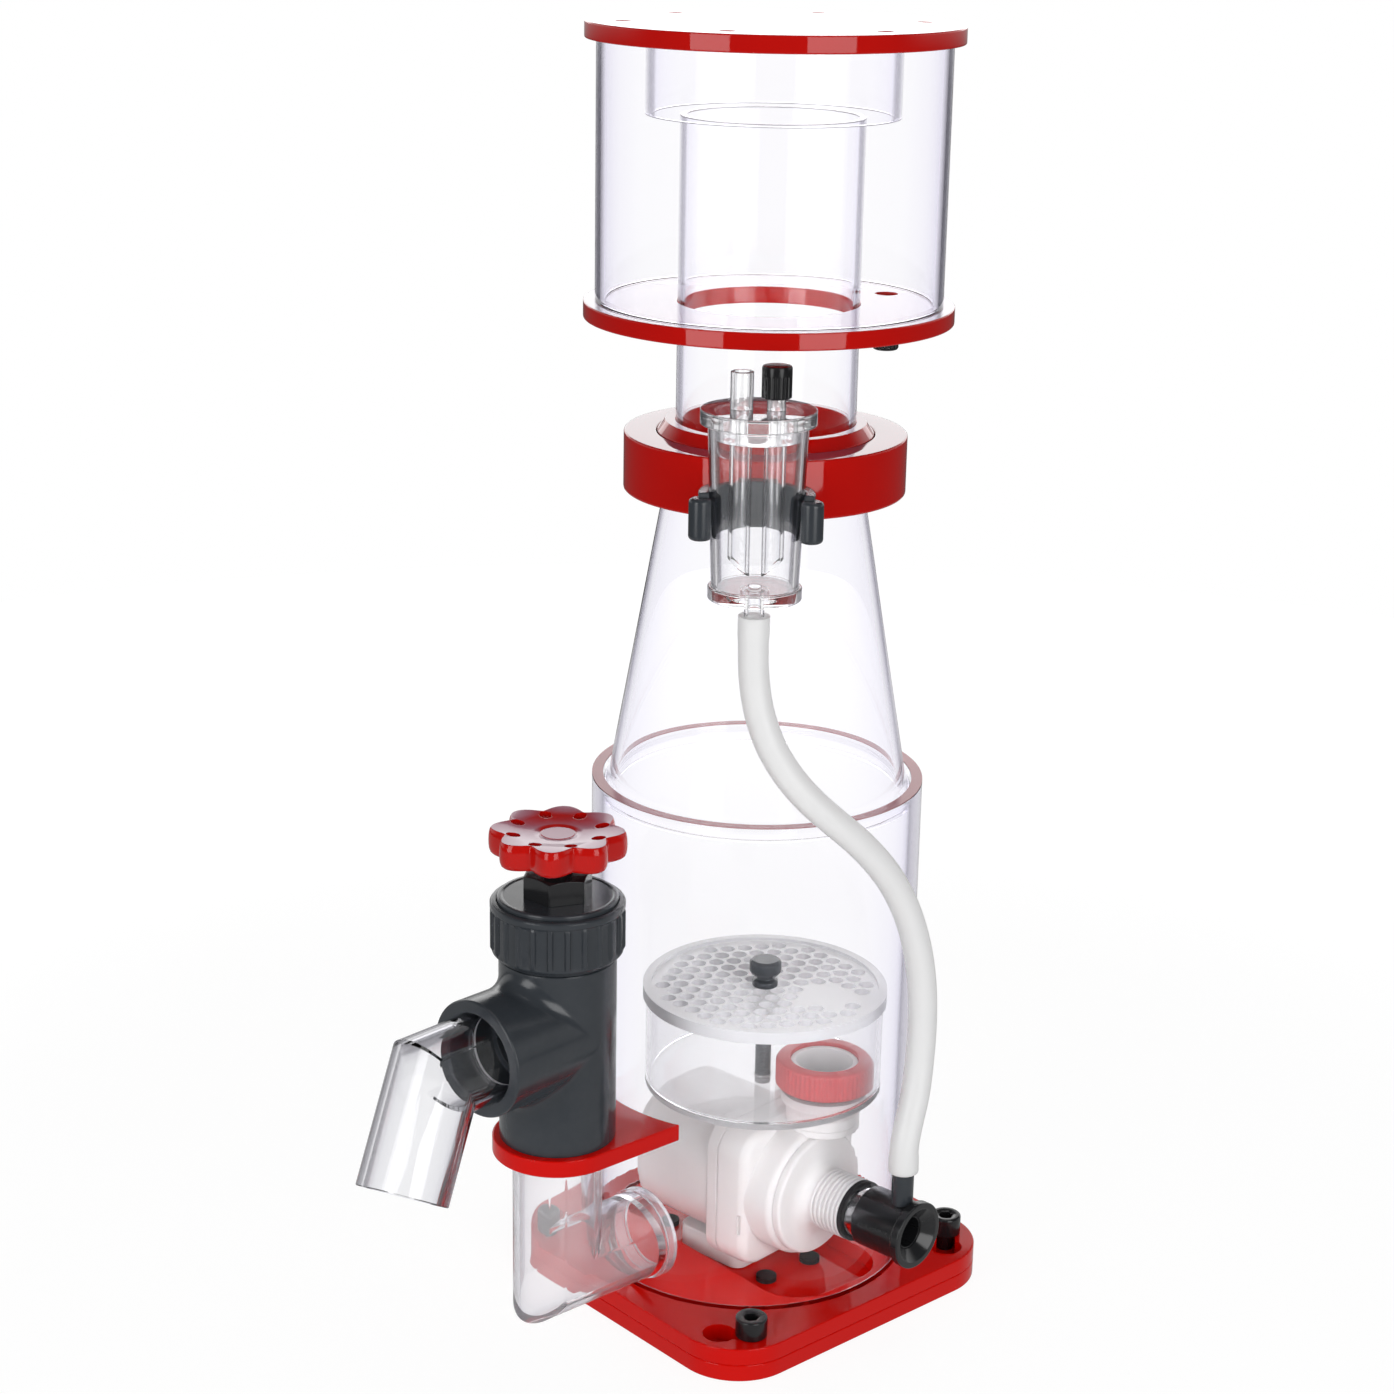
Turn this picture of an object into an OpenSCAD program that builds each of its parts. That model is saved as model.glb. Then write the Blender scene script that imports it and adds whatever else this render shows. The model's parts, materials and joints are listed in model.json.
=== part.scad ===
// In-sump protein skimmer: clear reaction body with a cone and a lift-off
// collection cup on a red base, an inner needle-wheel pump with a bubble plate,
// an outlet riser with a throttle valve, and an air silencer with its hose.

/* [Base] */
// How far the square base plates stand out past the body tube
base_margin = 11; // [9:0.5:25]
// Corner radius of the base plates
base_corner_r = 29.5; // [20:0.5:34]
// Thickness of each base plate
plate_t = 8; // [6:0.5:10]
// Distance of a lock screw from the plates' corner
screw_inset = 13.4; // [12.5:0.1:14.5]
// Diameter of a lock screw's shank
screw_d = 8; // [6:0.5:9]
// Diameter of a lock screw's head
screw_head_d = 14.4; // [12:0.2:15]
// Height of a lock screw's head
screw_head_h = 9.5; // [7:0.5:12]
// Twist that frees the body from the lock screws, in degrees
lock_angle = 8.5; // [8:0.25:10]
// Length of the pump's pocket in the upper plate
pocket_l = 132; // [124:1:134]
// Width of the pump's pocket in the upper plate
pocket_w = 62; // [56:1:70]
// Corner radius of the pump's pocket
pocket_r = 20; // [14:1:26]
// Gap from the body tube to the middle of the seal between the plates
base_seal_gap = 6; // [5:0.25:8]
// Section of the seal between the plates
base_seal_w = 3; // [2:0.25:4]

/* [Body and cone] */
// Outside diameter of the body tube
body_od = 150; // [146:1:154]
// Wall of the body tube
body_wall = 5; // [4:0.5:6]
// Height of the body tube
body_h = 233.4; // [215:1:270]
// Height of the cone between the body tube and the collar
cone_h = 132.2; // [110:1:160]
// Outside diameter of the cone at the collar
cone_top_od = 88; // [82:0.5:90]
// Wall of the cone
cone_wall = 4; // [3:0.5:5]
// Height of the flared foot that is bonded in the body tube
cone_foot_h = 8; // [5:0.5:12]
// Outside diameter of the collar
collar_od = 124; // [116:1:132]
// Height of the collar
collar_h = 25.6; // [22:0.5:34]
// Depth of the collar's lower ledge, which holds the cone
collar_ledge = 8; // [7:0.5:10]

/* [Collection cup] */
// Width of the neck ring, from the neck tube out
neck_ring_w = 8; // [7:0.1:12]
// Wall of the neck tube
neck_wall = 3; // [2:0.25:4]
// Outside diameter of the bevelled ring that plugs the neck into the collar
neck_ring_od = 94.8; // [93:0.2:100]
// How far the neck ring stands out of the collar
neck_ring_rise = 4.8; // [3:0.2:8]
// Gap from the collar to the cup's floor
cup_rise = 49.5; // [44:0.5:70]
// Outside diameter of the cup's tube
cup_od = 150; // [144:1:156]
// Wall of the cup's tube
cup_wall = 4; // [3:0.25:5]
// Height of the cup's tube
cup_h = 109.7; // [90:1:140]
// How far the cup's floor and the lid stand out past the cup's tube
cup_rim = 5; // [4:0.25:8]
// Thickness of the cup's floor and of the lid
cup_plate_t = 7.3; // [6:0.1:10]
// Outside diameter of the splash skirt under the lid
skirt_od = 108.4; // [96:0.5:120]
// Wall of the splash skirt
skirt_wall = 3; // [2:0.25:4]
// Depth of the splash skirt, which ends level with the neck's mouth
skirt_h = 31; // [20:1:45]
// Distance of the cup's drain from the inside of the cup's tube
drain_inset = 12.6; // [10:0.2:16]
// Direction of the cup's drain, in degrees
drain_az = 74; // [40:1:110]
// Diameter of the drain's hole
drain_d = 10.4; // [9:0.2:12]
// Number of air vents in the lid
vent_count = 6; // [4:1:8]
// Diameter of an air vent
vent_d = 4.8; // [3:0.2:6]

/* [Outlet and valve] */
// Outside diameter of the clear outlet pipes
pipe_od = 40; // [36:0.5:41]
// Wall of the clear outlet pipes
pipe_wall = 3; // [2:0.25:3.5]
// Height of the outlet pipe's axis
outlet_z = 37.5; // [37.5:0.5:42]
// Gap from the body tube to the riser's axis
valve_gap = 40.5; // [38:0.5:60]
// Thickness of the red bracket
bracket_t = 8; // [5:0.5:12]
// Height of the bracket's top face, where the tee sits
bracket_top = 105; // [98:0.5:112]
// Width of the red bracket
bracket_w = 58; // [55:0.5:62]
// Outside diameter of the tee
tee_od = 51.6; // [51:0.2:54]
// Outside diameter of the tee's branch
branch_od = 52.4; // [51:0.2:54]
// Height of the branch over the tee's foot
branch_rise = 51.5; // [50:0.5:53]
// Distance of the branch's face from the riser's axis
branch_reach = 48.7; // [46:0.5:56]
// Direction of the branch, in degrees
branch_az = -84; // [-110:1:-75]
// Height of the union nut over the tee's foot
nut_rise = 85.5; // [84:0.5:96]
// Outside diameter of the union nut over its ribs
nut_od = 59; // [58.4:0.2:64]
// Height of the union nut
nut_h = 26; // [25:0.5:32]
// Number of ribs on the union nut
nut_ribs = 20; // [12:1:28]
// Diameter of the valve's stem
stem_d = 10; // [8:0.5:12]
// Diameter of the handwheel over its lobes
wheel_d = 60; // [54:0.5:66]
// Thickness of the handwheel
wheel_h = 12; // [10:0.5:16]
// Number of lobes on the handwheel
wheel_lobes = 8; // [6:1:9]
// Distance from the riser's axis to the elbow's mitre
elbow_reach = 72.6; // [70:0.5:90]
// Bend of the outlet elbow, in degrees
elbow_bend = 60; // [30:1:80]
// Turn of the outlet elbow in the branch at rest, in degrees
elbow_turn = 10; // [-30:1:30]
// Length of the elbow's spout from the mitre
spout_l = 51; // [36:1:80]

/* [Pump] */
// Height of the pump's axis
pump_z = 52.5; // [52:0.5:58]
// Direction of the pump's inlet, in degrees
pump_yaw = 6; // [0:1:10]
// Width of the square pump block
block_w = 64.6; // [62:0.2:66]
// Length of the square pump block
block_l = 24; // [20:0.5:26]
// Width of the motor housing
motor_w = 63; // [58:0.5:64]
// Length of the motor housing
motor_l = 51; // [48:0.5:58]
// Diameter of the round pump chamber
chamber_d = 62; // [58:0.5:64]
// Length of the round pump chamber
chamber_l = 14; // [12:0.5:16]
// Outside diameter of the threaded pump inlet
inlet_d = 28.8; // [28:0.2:30]
// Outside diameter of the pump's outlet
outlet_d = 31; // [28:0.5:32]
// Sideways offset of the pump's outlet
outlet_side = 11; // [8:0.5:14]
// Height of the outlet's shoulder over the pump's axis
outlet_rise = 45.9; // [44:0.5:52]
// Diameter of the rotor's shaft
shaft_d = 4; // [3:0.5:5]
// Diameter of the venturi's barrel
venturi_d = 28; // [26.4:0.2:30]
// Length of the venturi outside the wall
venturi_l = 28.2; // [26:0.5:36]
// Diameter of the venturi's throat
throat_d = 14; // [10:0.5:16]

/* [Bubble plate] */
// Gap from the bubble plate to the body tube's wall
drum_gap = 5; // [4:0.25:7]
// Wall of the diffuser drum
drum_wall = 2.5; // [2:0.25:4]
// Height of the diffuser drum
drum_h = 43; // [36:1:56]
// Thickness of the diffuser drum's floor
drum_floor_t = 3; // [2:0.25:5]
// Thickness of the bubble plate
bubble_plate_t = 4; // [2.5:0.25:5]
// Diameter of a hole in the bubble plate
bubble_hole_d = 7; // [5:0.2:7.4]
// Pitch of the holes in the bubble plate
bubble_pitch = 8.5; // [8.2:0.1:10]
// Diameter of the plate's threaded rod
rod_d = 7.5; // [6:0.25:8]
// Diameter of the knob that holds the plate
knob_d = 14.8; // [13:0.2:18]

/* [Silencer] */
// Gap from the collar to the silencer's axis
silencer_gap = 26; // [25.5:0.25:30]
// Direction of the silencer, in degrees
silencer_az = -44.8; // [-50:0.1:-40]
// Height of the silencer's foot over the collar's foot
silencer_drop = -23.4; // [-30:0.2:-20]
// Height of the silencer's cup, without its lid
silencer_h = 70.5; // [60:0.5:80]
// Outside diameter of the silencer's cup at its mouth
silencer_top_od = 41.4; // [40:0.2:42]
// Outside diameter of the silencer's cup at its foot
silencer_foot_od = 36.6; // [34:0.2:38]
// Wall of the silencer's cup
silencer_wall = 2.5; // [2:0.25:3]
// Diameter of the silencer's lid
silencer_lid_od = 47.6; // [45:0.2:50]
// Outside diameter of the silencer's air tubes
air_tube_od = 9.2; // [8:0.2:10]
// Spacing of the silencer's two air tubes
air_tube_gap = 14; // [13:0.25:15]
// Height of the clip that holds the silencer
clip_h = 18; // [12:0.5:20]
// Outside diameter of the air hose
hose_od = 13; // [12:0.25:14]

/* [Hidden] */
$fn = 96;

// Fits: bonded or fixed, turning, and sliding or loose
bond_gap = 0.05;
run_gap = 0.07;
slide_gap = 0.3;
// Overshoot of a cut, and the size of a cutting block
cut = 1;
cut_size = 300;

// Heights of the stack
deck_z = 2 * plate_t;
body_top = deck_z + body_h;
collar_z = body_top + cone_h;
collar_top = collar_z + collar_h;
cup_floor_z = collar_top + cup_rise;
cup_floor_top = cup_floor_z + cup_plate_t;
cup_top = cup_floor_top + cup_h;
neck_top = cup_top - skirt_h;

// Body, cone and collar radii
body_r = body_od / 2;
body_ir = body_r - body_wall;
cone_foot_r = body_ir - bond_gap;
cone_flare = 2.6;
cone_top_r = cone_top_od / 2;
cone_bore_r = cone_top_r - cone_wall;
cone_spigot = 6;
neck_ring_r = neck_ring_od / 2;
neck_r = neck_ring_r - neck_ring_w;
collar_bore_r = neck_ring_r + slide_gap;
edge_bevel = 0.8;

// Lock screws and key-hole slots, halfway round each corner
corner_az = [45, 135, 225, 315];
base_w = body_od + 2 * base_margin;
base_seal_r = body_r + base_seal_gap;
corner_reach = sqrt(2) * (base_w / 2 - base_corner_r) + base_corner_r;
screw_circle_r = corner_reach - screw_inset;
screw_foot = 2;
slot_gap = 0.4;
hex_key_d = 7;
hex_key_h = 5;

// Neck ring and its O-ring
ring_foot_z = collar_z + collar_ledge;
ring_bevel = 3.4;
ring_bevel_r = neck_ring_r - ring_bevel;
o_ring_d = 3.4;
o_ring_rise = 9;
o_ring_z = ring_foot_z + o_ring_rise;
o_ring_r = collar_bore_r - bond_gap - o_ring_d / 2;
o_ring_play = 0.2;
o_ring_groove_h = o_ring_d + o_ring_play;
o_ring_groove_r = o_ring_r - o_ring_d / 2 - bond_gap;

// Cup plates and drain
cup_plate_od = cup_od + 2 * cup_rim;
drain_reach = cup_od / 2 - cup_wall - drain_inset;
drain_flange_d = 16;
drain_flange_t = 3.7;
drain_pipe_d = 9.2;
drain_pipe_l = 12.5;
drain_bore_d = 6.4;
drain_cap_d = 11.6;
drain_cap_h = 13;
drain_cap_gap = 0.8;
vent_circle_r = (skirt_od / 2 + cup_od / 2) / 2;

// Outlet pipe, riser and tee
pipe_r = pipe_od / 2;
pipe_bore_r = pipe_r - pipe_wall;
valve_y = -(body_r + valve_gap);
outlet_end = 9;
outlet_ring_d = 2 * (outlet_z - deck_z - slide_gap);
outlet_ring_l = 5;
tee_r = tee_od / 2;
socket_depth = 26;
riser_top = bracket_top + socket_depth;
seat_t = 3;
seat_top = riser_top + seat_t;
branch_z = bracket_top + branch_rise;
valve_bore_step = 0.6;
valve_bore_r = pipe_r + valve_bore_step;
nut_z = bracket_top + nut_rise;
nut_head_h = 7.5;
thread_h = nut_h - nut_head_h;
tee_top = nut_z + thread_h;
thread_wall = 3.5;
thread_r = valve_bore_r + thread_wall;
branch_land = 2;
branch_stop = pipe_r + branch_land;

// Bonnet, union nut and gland
nut_wall = 1.9;
bonnet_flange_r = nut_od / 2 - nut_wall;
bonnet_flange_t = 3.5;
bonnet_step = 1.2;
bonnet_disc_r = bonnet_flange_r - bonnet_step;
bonnet_rise = 2;
bonnet_top = nut_z + nut_h + bonnet_rise;
plug_h = 10;
plug_ring_d = 2.4;
nut_rib_h = 0.8;
nut_root_r = nut_od / 2 - nut_rib_h;
nut_rib_w = 3.2;
nut_bevel = 3;
gland_d = 31;
gland_h = 10.5;
gland_bevel = 1;

// Stem, plunger and handwheel
stem_r = stem_d / 2;
stem_step = 1.4;
stem_head_r = stem_r + stem_step;
wheel_gap = 7.4;
wheel_z = bonnet_top + gland_h + wheel_gap;
stem_clear = 6;
stem_end = seat_top + stem_clear;
wheel_roof = 3;
stem_top = wheel_z + wheel_h - wheel_roof;
stem_collar_w = 2;
stem_collar_d = stem_d + 2 * stem_collar_w;
stem_collar_h = 3.4;
plunger_travel = 40;
plunger_gap = 0.2;
plunger_z = seat_top + plunger_travel + plunger_gap;
plunger_h = 13;
plunger_seal_t = 3;
plunger_r = valve_bore_r - slide_gap;
lobe_d = 16.4;
lobe_rise = 5.4;
wheel_core_r = wheel_d / 2 - lobe_rise;
dish_depth = 2;
dish_rim = 13;
dish_r = wheel_d / 2 - dish_rim;
hub_r = 9;
dimple_d = 4;
dimple_depth = 2.5;
wheel_hollow_h = 6.5;

// Elbow
elbow_gap = 1;
elbow_start = branch_stop + elbow_gap;
siphon_hole_d = 4.6;
siphon_hole_gap = 8;
siphon_hole_reach = branch_reach + siphon_hole_gap;

// Pump stations along its axis, which starts at the body's axis
block_back = 3;
block_front = block_back + block_l;
motor_back = block_back - motor_l;
chamber_front = block_front + chamber_l;
cover_t = 4;
cover_step = 2;
cover_d = chamber_d - 2 * cover_step;
cover_front = chamber_front + cover_t;
inlet_cone_l = 4;
inlet_gap = 3.6;
inlet_end = body_ir - inlet_gap;
inlet_teeth = 7;
tooth_h = 0.7;
block_corner_r = 11;
motor_corner_r = 16;
motor_wall = 3;
motor_bevel = 3.5;
outlet_gap = 34;
outlet_u = body_ir - outlet_gap;
outlet_r = outlet_d / 2;
tower_wall = 2.5;
outlet_bore_r = outlet_r - tower_wall;
shoulder_w = 4;
shoulder_d = outlet_d + 2 * shoulder_w;
shoulder_t = 4.4;
tower_z = pump_z + cover_d / 2 + slide_gap;
tower_step = 3.2;
tower_joint_z = tower_z + tower_step;
shoulder_z = pump_z + outlet_rise;
union_seal_t = 1.6;
chamber_wall = 6;
impeller_room_r = chamber_d / 2 - chamber_wall;
impeller_recess = 3;
impeller_back = block_front - impeller_recess;
eye_r = 10;
inlet_wall = 2.5;
spigot_r = inlet_d / 2 - inlet_wall;
spigot_gap = 5;
spigot_start = cover_front + spigot_gap;
eye_spokes = 3;
spoke_w = 2.4;

// Rotor, bearings and stator
shaft_r = shaft_d / 2;
can_r = 14.5;
can_wall = 1.5;
can_gap = 11;
can_end = motor_back + can_gap;
can_flange_gap = 1.5;
can_flange_r = motor_w / 2 - motor_wall - can_flange_gap;
can_flange_t = 3;
magnet_gap = 1.4;
magnet_r = can_r - can_wall - magnet_gap;
magnet_inset = 6;
magnet_short = 7;
magnet_back = can_end + magnet_inset;
magnet_front = block_back - magnet_short;
bearing_l = 2.8;
bearing_r = 6;
bearing_boss = 3;
front_bearing_r = 4;
bearing_proud = 0.5;
front_bearing_back = chamber_front - bearing_proud;
front_bearing_l = 3.5;
front_bearing_wall = 1.5;
impeller_gap = 3;
impeller_r = impeller_room_r - impeller_gap;
impeller_lift = 1;
impeller_disc_back = block_front + impeller_lift;
impeller_disc_t = 2.5;
impeller_hub_r = 5;
pin_r = 1.1;
pin_l = 8.5;
pin_pitch = 5;
pin_rings = [2, 3, 4];
stator_r = 24;
stator_l = 32;
stator_notches = 6;
stator_notch_w = 4;

// Pump foot, rubber pads, gland, volute seal
foot_back = -25;
foot_front = 15;
foot_w = 44;
pad_d = 9.6;
pad_t = 2.5;
pad_side = 14;
pad_front = 30;
pad_back = -40;
gland_stub_d = 11;
gland_stub_l = 6.5;
gland_rise = 12;
cable_bore_d = 6;
volute_seal_w = 2;
volute_seal_inset = 3;
volute_seal_r = can_flange_r - volute_seal_inset;

// Venturi
port_play = 0.2;
port_r = spigot_r + port_play;
port_seal_r = venturi_d / 2 + slide_gap;
port_seal_gap = 1.5;
port_seal_front = body_ir - port_seal_gap;
venturi_back = body_r + slide_gap;
venturi_front = venturi_back + venturi_l;
funnel_l = 4.5;
funnel_lip = 1.2;
funnel_r = venturi_d / 2 - funnel_lip;
venturi_flange_w = 1.6;
venturi_flange_d = venturi_d + 2 * venturi_flange_w;
barb_inset = 10;
barb_u = venturi_front - barb_inset;
barb_r = 5;
barb_rise = 29.5;
barb_top = pump_z + barb_rise;
barb_nipple_r = 4.25;
nipple_l = 12;
nipple_bore_r = 2.8;

// Diffuser drum, which hangs on the pump's outlet
drum_x = 8.5;
drum_y = 0.5;
drum_center = [drum_x, drum_y];
drum_z = shoulder_z + union_seal_t;
drum_floor_top = drum_z + drum_floor_t;
drum_top = drum_z + drum_h;
plate_lip = 1.5;
drum_r = body_ir - drum_x - plate_lip - drum_gap;
plate_lip_h = 1.6;
plate_top = drum_top + bubble_plate_t;
rod_r = rod_d / 2;
rod_tip = 3.5;
knob_collar_h = 3.5;
knob_neck_h = 2.5;
knob_head_h = 7;
hole_margin = 5;
hole_field_r = drum_r - drum_wall - hole_margin;
blank_r = 15;
outlet_nut_gap = 0.44;
outlet_nut_d = 2 * (drum_r - drum_wall - norm(outlet_center()) - outlet_nut_gap);
outlet_nut_h = 13;
outlet_nut_ribs = 60;
outlet_short = 1.5;
outlet_top = drum_floor_top + outlet_nut_h - outlet_short;

// Silencer
silencer_reach = collar_od / 2 + silencer_gap;
silencer_at = silencer_reach * [cos(silencer_az), sin(silencer_az)];
silencer_z = collar_z + silencer_drop;
silencer_floor = 5.3;
silencer_top = silencer_z + silencer_h;
foot_flange_w = 1.3;
silencer_foot_flange = silencer_foot_od / 2 + foot_flange_w;
silencer_bore_top = silencer_top_od / 2 - silencer_wall;
silencer_lid_t = 6.1;
lid_spigot = 6;
air_tube_r = air_tube_od / 2;
air_tube_wall = 1.4;
air_tube_bore_r = air_tube_r - air_tube_wall;
air_tube_rise = 11;
air_tube_end = silencer_z + air_tube_rise;
air_tube_slant = 41;
air_tube_socket = 3;
inlet_stub_r = 4.75;
inlet_stub_l = 15.2;
cap_stub_r = 3.9;
cap_stub_l = 12.5;
stub_wall = 1.4;
cap_d = 12.4;
cap_h = 13.4;
cap_lift = 4.5;
cap_roof = 4.2;
cap_ribs = 18;
nipple_boss_r = 6;
nipple_boss_h = 3.5;
nipple_drop = 10.2;
nipple_r = 4.25;
clip_bite = 0.8;
clip_bore_r = silencer_top_od / 2 - clip_bite;
clip_t = 4.2;
clip_half_gap = 78;
clip_lobe_d = 9.8;
clip_block_w = 22;
clip_drop = 3;
clip_z = collar_z + (collar_h - clip_h) / 2 - clip_drop;

// Air hose: from the silencer's nipple, round the body, to the venturi's barb
hose_sides = 10;
hose_r = hose_od / 2;
hose_bore_r = 4.6;
hose_ref = [0.9, -0.4, 0];
hose_route = [
    [62.5, -62, 348], [62.5, -62, 334], [63, -61.5, 320], [65, -60, 306],
    [68.5, -56.5, 292], [73, -50.5, 279], [78, -42, 267], [82.5, -32, 256.5],
    [86, -21, 246], [88.5, -10, 234], [90, 0, 220.5], [90.5, 8.5, 205],
    [90.5, 15, 188], [90, 19.5, 170], [89.5, 21.5, 152], [89.5, 21, 134],
    [91, 17.5, 117], [92, 13, 104], [93, 9.8, 94], [93, 9.8, 82]
];

// Colours
red = "firebrick";
clear = [0.86, 0.9, 0.95, 0.35];
dark = [0.22, 0.24, 0.27];
black = [0.07, 0.07, 0.08];
white = [0.93, 0.93, 0.92];

// Basic shapes

module tube(r_out, r_in, h) {
    difference() {
        cylinder(r = r_out, h = h);
        translate([0, 0, -cut]) cylinder(r = r_in, h = h + 2 * cut);
    }
}

module rounded_rect(l, w, r) {
    square([l - 2 * r, w], center = true);
    square([l, w - 2 * r], center = true);
    for (x = [-1, 1], y = [-1, 1])
        translate([x * (l / 2 - r), y * (w / 2 - r)]) circle(r = r);
}

module half_space() {
    translate([-cut_size / 2, -cut_size / 2, 0]) cube(cut_size);
}

module torus(r_mid, d) {
    rotate_extrude() translate([r_mid, 0]) circle(d = d, $fn = 32);
}

// Places

module at_corners() {
    for (a = corner_az) rotate([0, 0, a]) children();
}

module at_valve(z) {
    translate([0, valve_y, z]) children();
}

// Along the branch: +Z runs out of the branch, +X runs down
module on_branch(s) {
    at_valve(branch_z) rotate([0, 0, branch_az]) rotate([0, 90, 0]) translate([0, 0, s]) children();
}

// Along the pump's axis: +Z runs out of the inlet, +Y runs to the outlet's side
module on_pump(u) {
    rotate([0, 0, pump_yaw]) translate([u, 0, pump_z]) rotate([0, 90, 0]) children();
}

module at_outlet(z) {
    rotate([0, 0, pump_yaw]) translate([outlet_u, outlet_side, z]) children();
}

module at_drum(z) {
    translate([drum_center.x, drum_center.y, z]) children();
}

// At the silencer: +X runs away from the collar
module at_silencer(z) {
    translate([silencer_at.x, silencer_at.y, z]) rotate([0, 0, silencer_az]) children();
}

module at_drain(z) {
    rotate([0, 0, drain_az]) translate([drain_reach, 0, z]) children();
}

// Base

module base_outline() {
    rounded_rect(base_w, base_w, base_corner_r);
}

module foot_plate() {
    color(red) difference() {
        linear_extrude(plate_t) base_outline();
        at_corners() rotate([0, 0, lock_angle / 2])
            translate([screw_circle_r, 0, screw_foot]) cylinder(d = screw_d + 2 * bond_gap, h = plate_t);
    }
}

module lock_screw() {
    translate([0, 0, screw_foot]) cylinder(d = screw_d, h = deck_z - screw_foot);
    translate([0, 0, deck_z]) difference() {
        union() {
            cylinder(d = screw_head_d, h = screw_head_h - edge_bevel);
            translate([0, 0, screw_head_h - edge_bevel])
                cylinder(d1 = screw_head_d, d2 = screw_head_d - 2 * edge_bevel, h = edge_bevel);
        }
        translate([0, 0, screw_head_h - hex_key_h]) cylinder(d = hex_key_d, h = hex_key_h + cut, $fn = 6);
    }
}

module lock_screws() {
    color(black) at_corners() rotate([0, 0, lock_angle / 2]) translate([screw_circle_r, 0, 0]) lock_screw();
}

// A narrow arc for the shank that ends in a hole for the head
module key_slot() {
    slot_w = screw_d + 2 * slot_gap;
    h = plate_t + 2 * cut;
    rotate([0, 0, -lock_angle / 2]) {
        rotate_extrude(angle = lock_angle) translate([screw_circle_r - slot_w / 2, 0]) square([slot_w, h]);
        translate([screw_circle_r, 0, 0]) cylinder(d = screw_head_d + 2 * slot_gap, h = h);
    }
    rotate([0, 0, lock_angle / 2]) translate([screw_circle_r, 0, 0]) cylinder(d = slot_w, h = h);
}

module body_plate() {
    color(red) translate([0, 0, plate_t]) difference() {
        linear_extrude(plate_t) base_outline();
        translate([0, 0, -cut]) linear_extrude(plate_t + 2 * cut) rounded_rect(pocket_l, pocket_w, pocket_r);
        translate([0, 0, -cut]) at_corners() key_slot();
        translate([0, 0, -cut]) tube(base_seal_r + base_seal_w / 2 + bond_gap,
            base_seal_r - base_seal_w / 2 - bond_gap, base_seal_w + cut);
    }
}

module base_seal() {
    color(black) translate([0, 0, plate_t])
        tube(base_seal_r + base_seal_w / 2, base_seal_r - base_seal_w / 2, base_seal_w);
}

// Body

module body_tube() {
    color(clear) difference() {
        translate([0, 0, deck_z]) tube(body_r, body_ir, body_h);
        on_pump(0) cylinder(r = port_r, h = body_od);
        translate([0, 0, outlet_z]) rotate([90, 0, 0]) cylinder(r = pipe_r + bond_gap, h = body_od);
    }
}

module cone() {
    foot_z = body_top - cone_foot_h;
    color(clear) rotate_extrude() polygon([
        [cone_foot_r, foot_z], [cone_foot_r, foot_z + cone_foot_h / 2],
        [cone_foot_r - cone_flare, body_top], [cone_top_r, collar_z], [cone_top_r, collar_z + cone_spigot],
        [cone_bore_r, collar_z + cone_spigot], [cone_bore_r, collar_z],
        [cone_foot_r - cone_flare - cone_wall, body_top], [cone_foot_r - cone_wall, foot_z]
    ]);
}

module collar() {
    r = collar_od / 2;
    color(red) rotate_extrude() polygon([
        [cone_top_r + bond_gap, collar_z], [r - edge_bevel, collar_z], [r, collar_z + edge_bevel],
        [r, collar_top - edge_bevel], [r - edge_bevel, collar_top], [collar_bore_r, collar_top],
        [collar_bore_r, ring_foot_z], [cone_bore_r, ring_foot_z],
        [cone_bore_r, collar_z + cone_spigot], [cone_top_r + bond_gap, collar_z + cone_spigot]
    ]);
}

// Collection cup

module neck_o_ring() {
    color(black) translate([0, 0, o_ring_z]) torus(o_ring_r, o_ring_d);
}

module neck_ring() {
    ring_top = collar_top + neck_ring_rise;
    color(red) rotate_extrude() polygon([
        [neck_r + bond_gap, ring_foot_z], [neck_ring_r, ring_foot_z],
        [neck_ring_r, o_ring_z - o_ring_groove_h / 2], [o_ring_groove_r, o_ring_z - o_ring_groove_h / 2],
        [o_ring_groove_r, o_ring_z + o_ring_groove_h / 2], [neck_ring_r, o_ring_z + o_ring_groove_h / 2],
        [neck_ring_r, collar_top], [ring_bevel_r, ring_top], [neck_r + bond_gap, ring_top]
    ]);
}

module neck_tube() {
    color(clear) translate([0, 0, ring_foot_z]) tube(neck_r, neck_r - neck_wall, neck_top - ring_foot_z);
}

module cup_floor() {
    color(red) difference() {
        translate([0, 0, cup_floor_z]) tube(cup_plate_od / 2, neck_r + bond_gap, cup_plate_t);
        at_drain(cup_floor_z - cut) cylinder(d = drain_d, h = cup_plate_t + 2 * cut);
    }
}

module cup_tube() {
    color(clear) translate([0, 0, cup_floor_top]) tube(cup_od / 2, cup_od / 2 - cup_wall, cup_h);
}

module drain_fitting() {
    total = cup_plate_t + drain_flange_t + drain_pipe_l;
    color(black) at_drain(cup_floor_z) difference() {
        union() {
            cylinder(d = drain_d - 2 * bond_gap, h = cup_plate_t);
            translate([0, 0, -drain_flange_t]) cylinder(d = drain_flange_d, h = drain_flange_t);
            translate([0, 0, cup_plate_t - total]) cylinder(d = drain_pipe_d, h = total - cup_plate_t);
        }
        translate([0, 0, -total]) cylinder(d = drain_bore_d, h = 2 * total);
    }
}

module drain_cap() {
    color(black) at_drain(cup_floor_z - drain_flange_t - drain_cap_gap - drain_cap_h) difference() {
        cylinder(d = drain_cap_d, h = drain_cap_h);
        translate([0, 0, drain_cap_h - drain_pipe_l + drain_cap_gap - slide_gap])
            cylinder(d = drain_pipe_d + 2 * run_gap, h = drain_pipe_l);
    }
}

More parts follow.
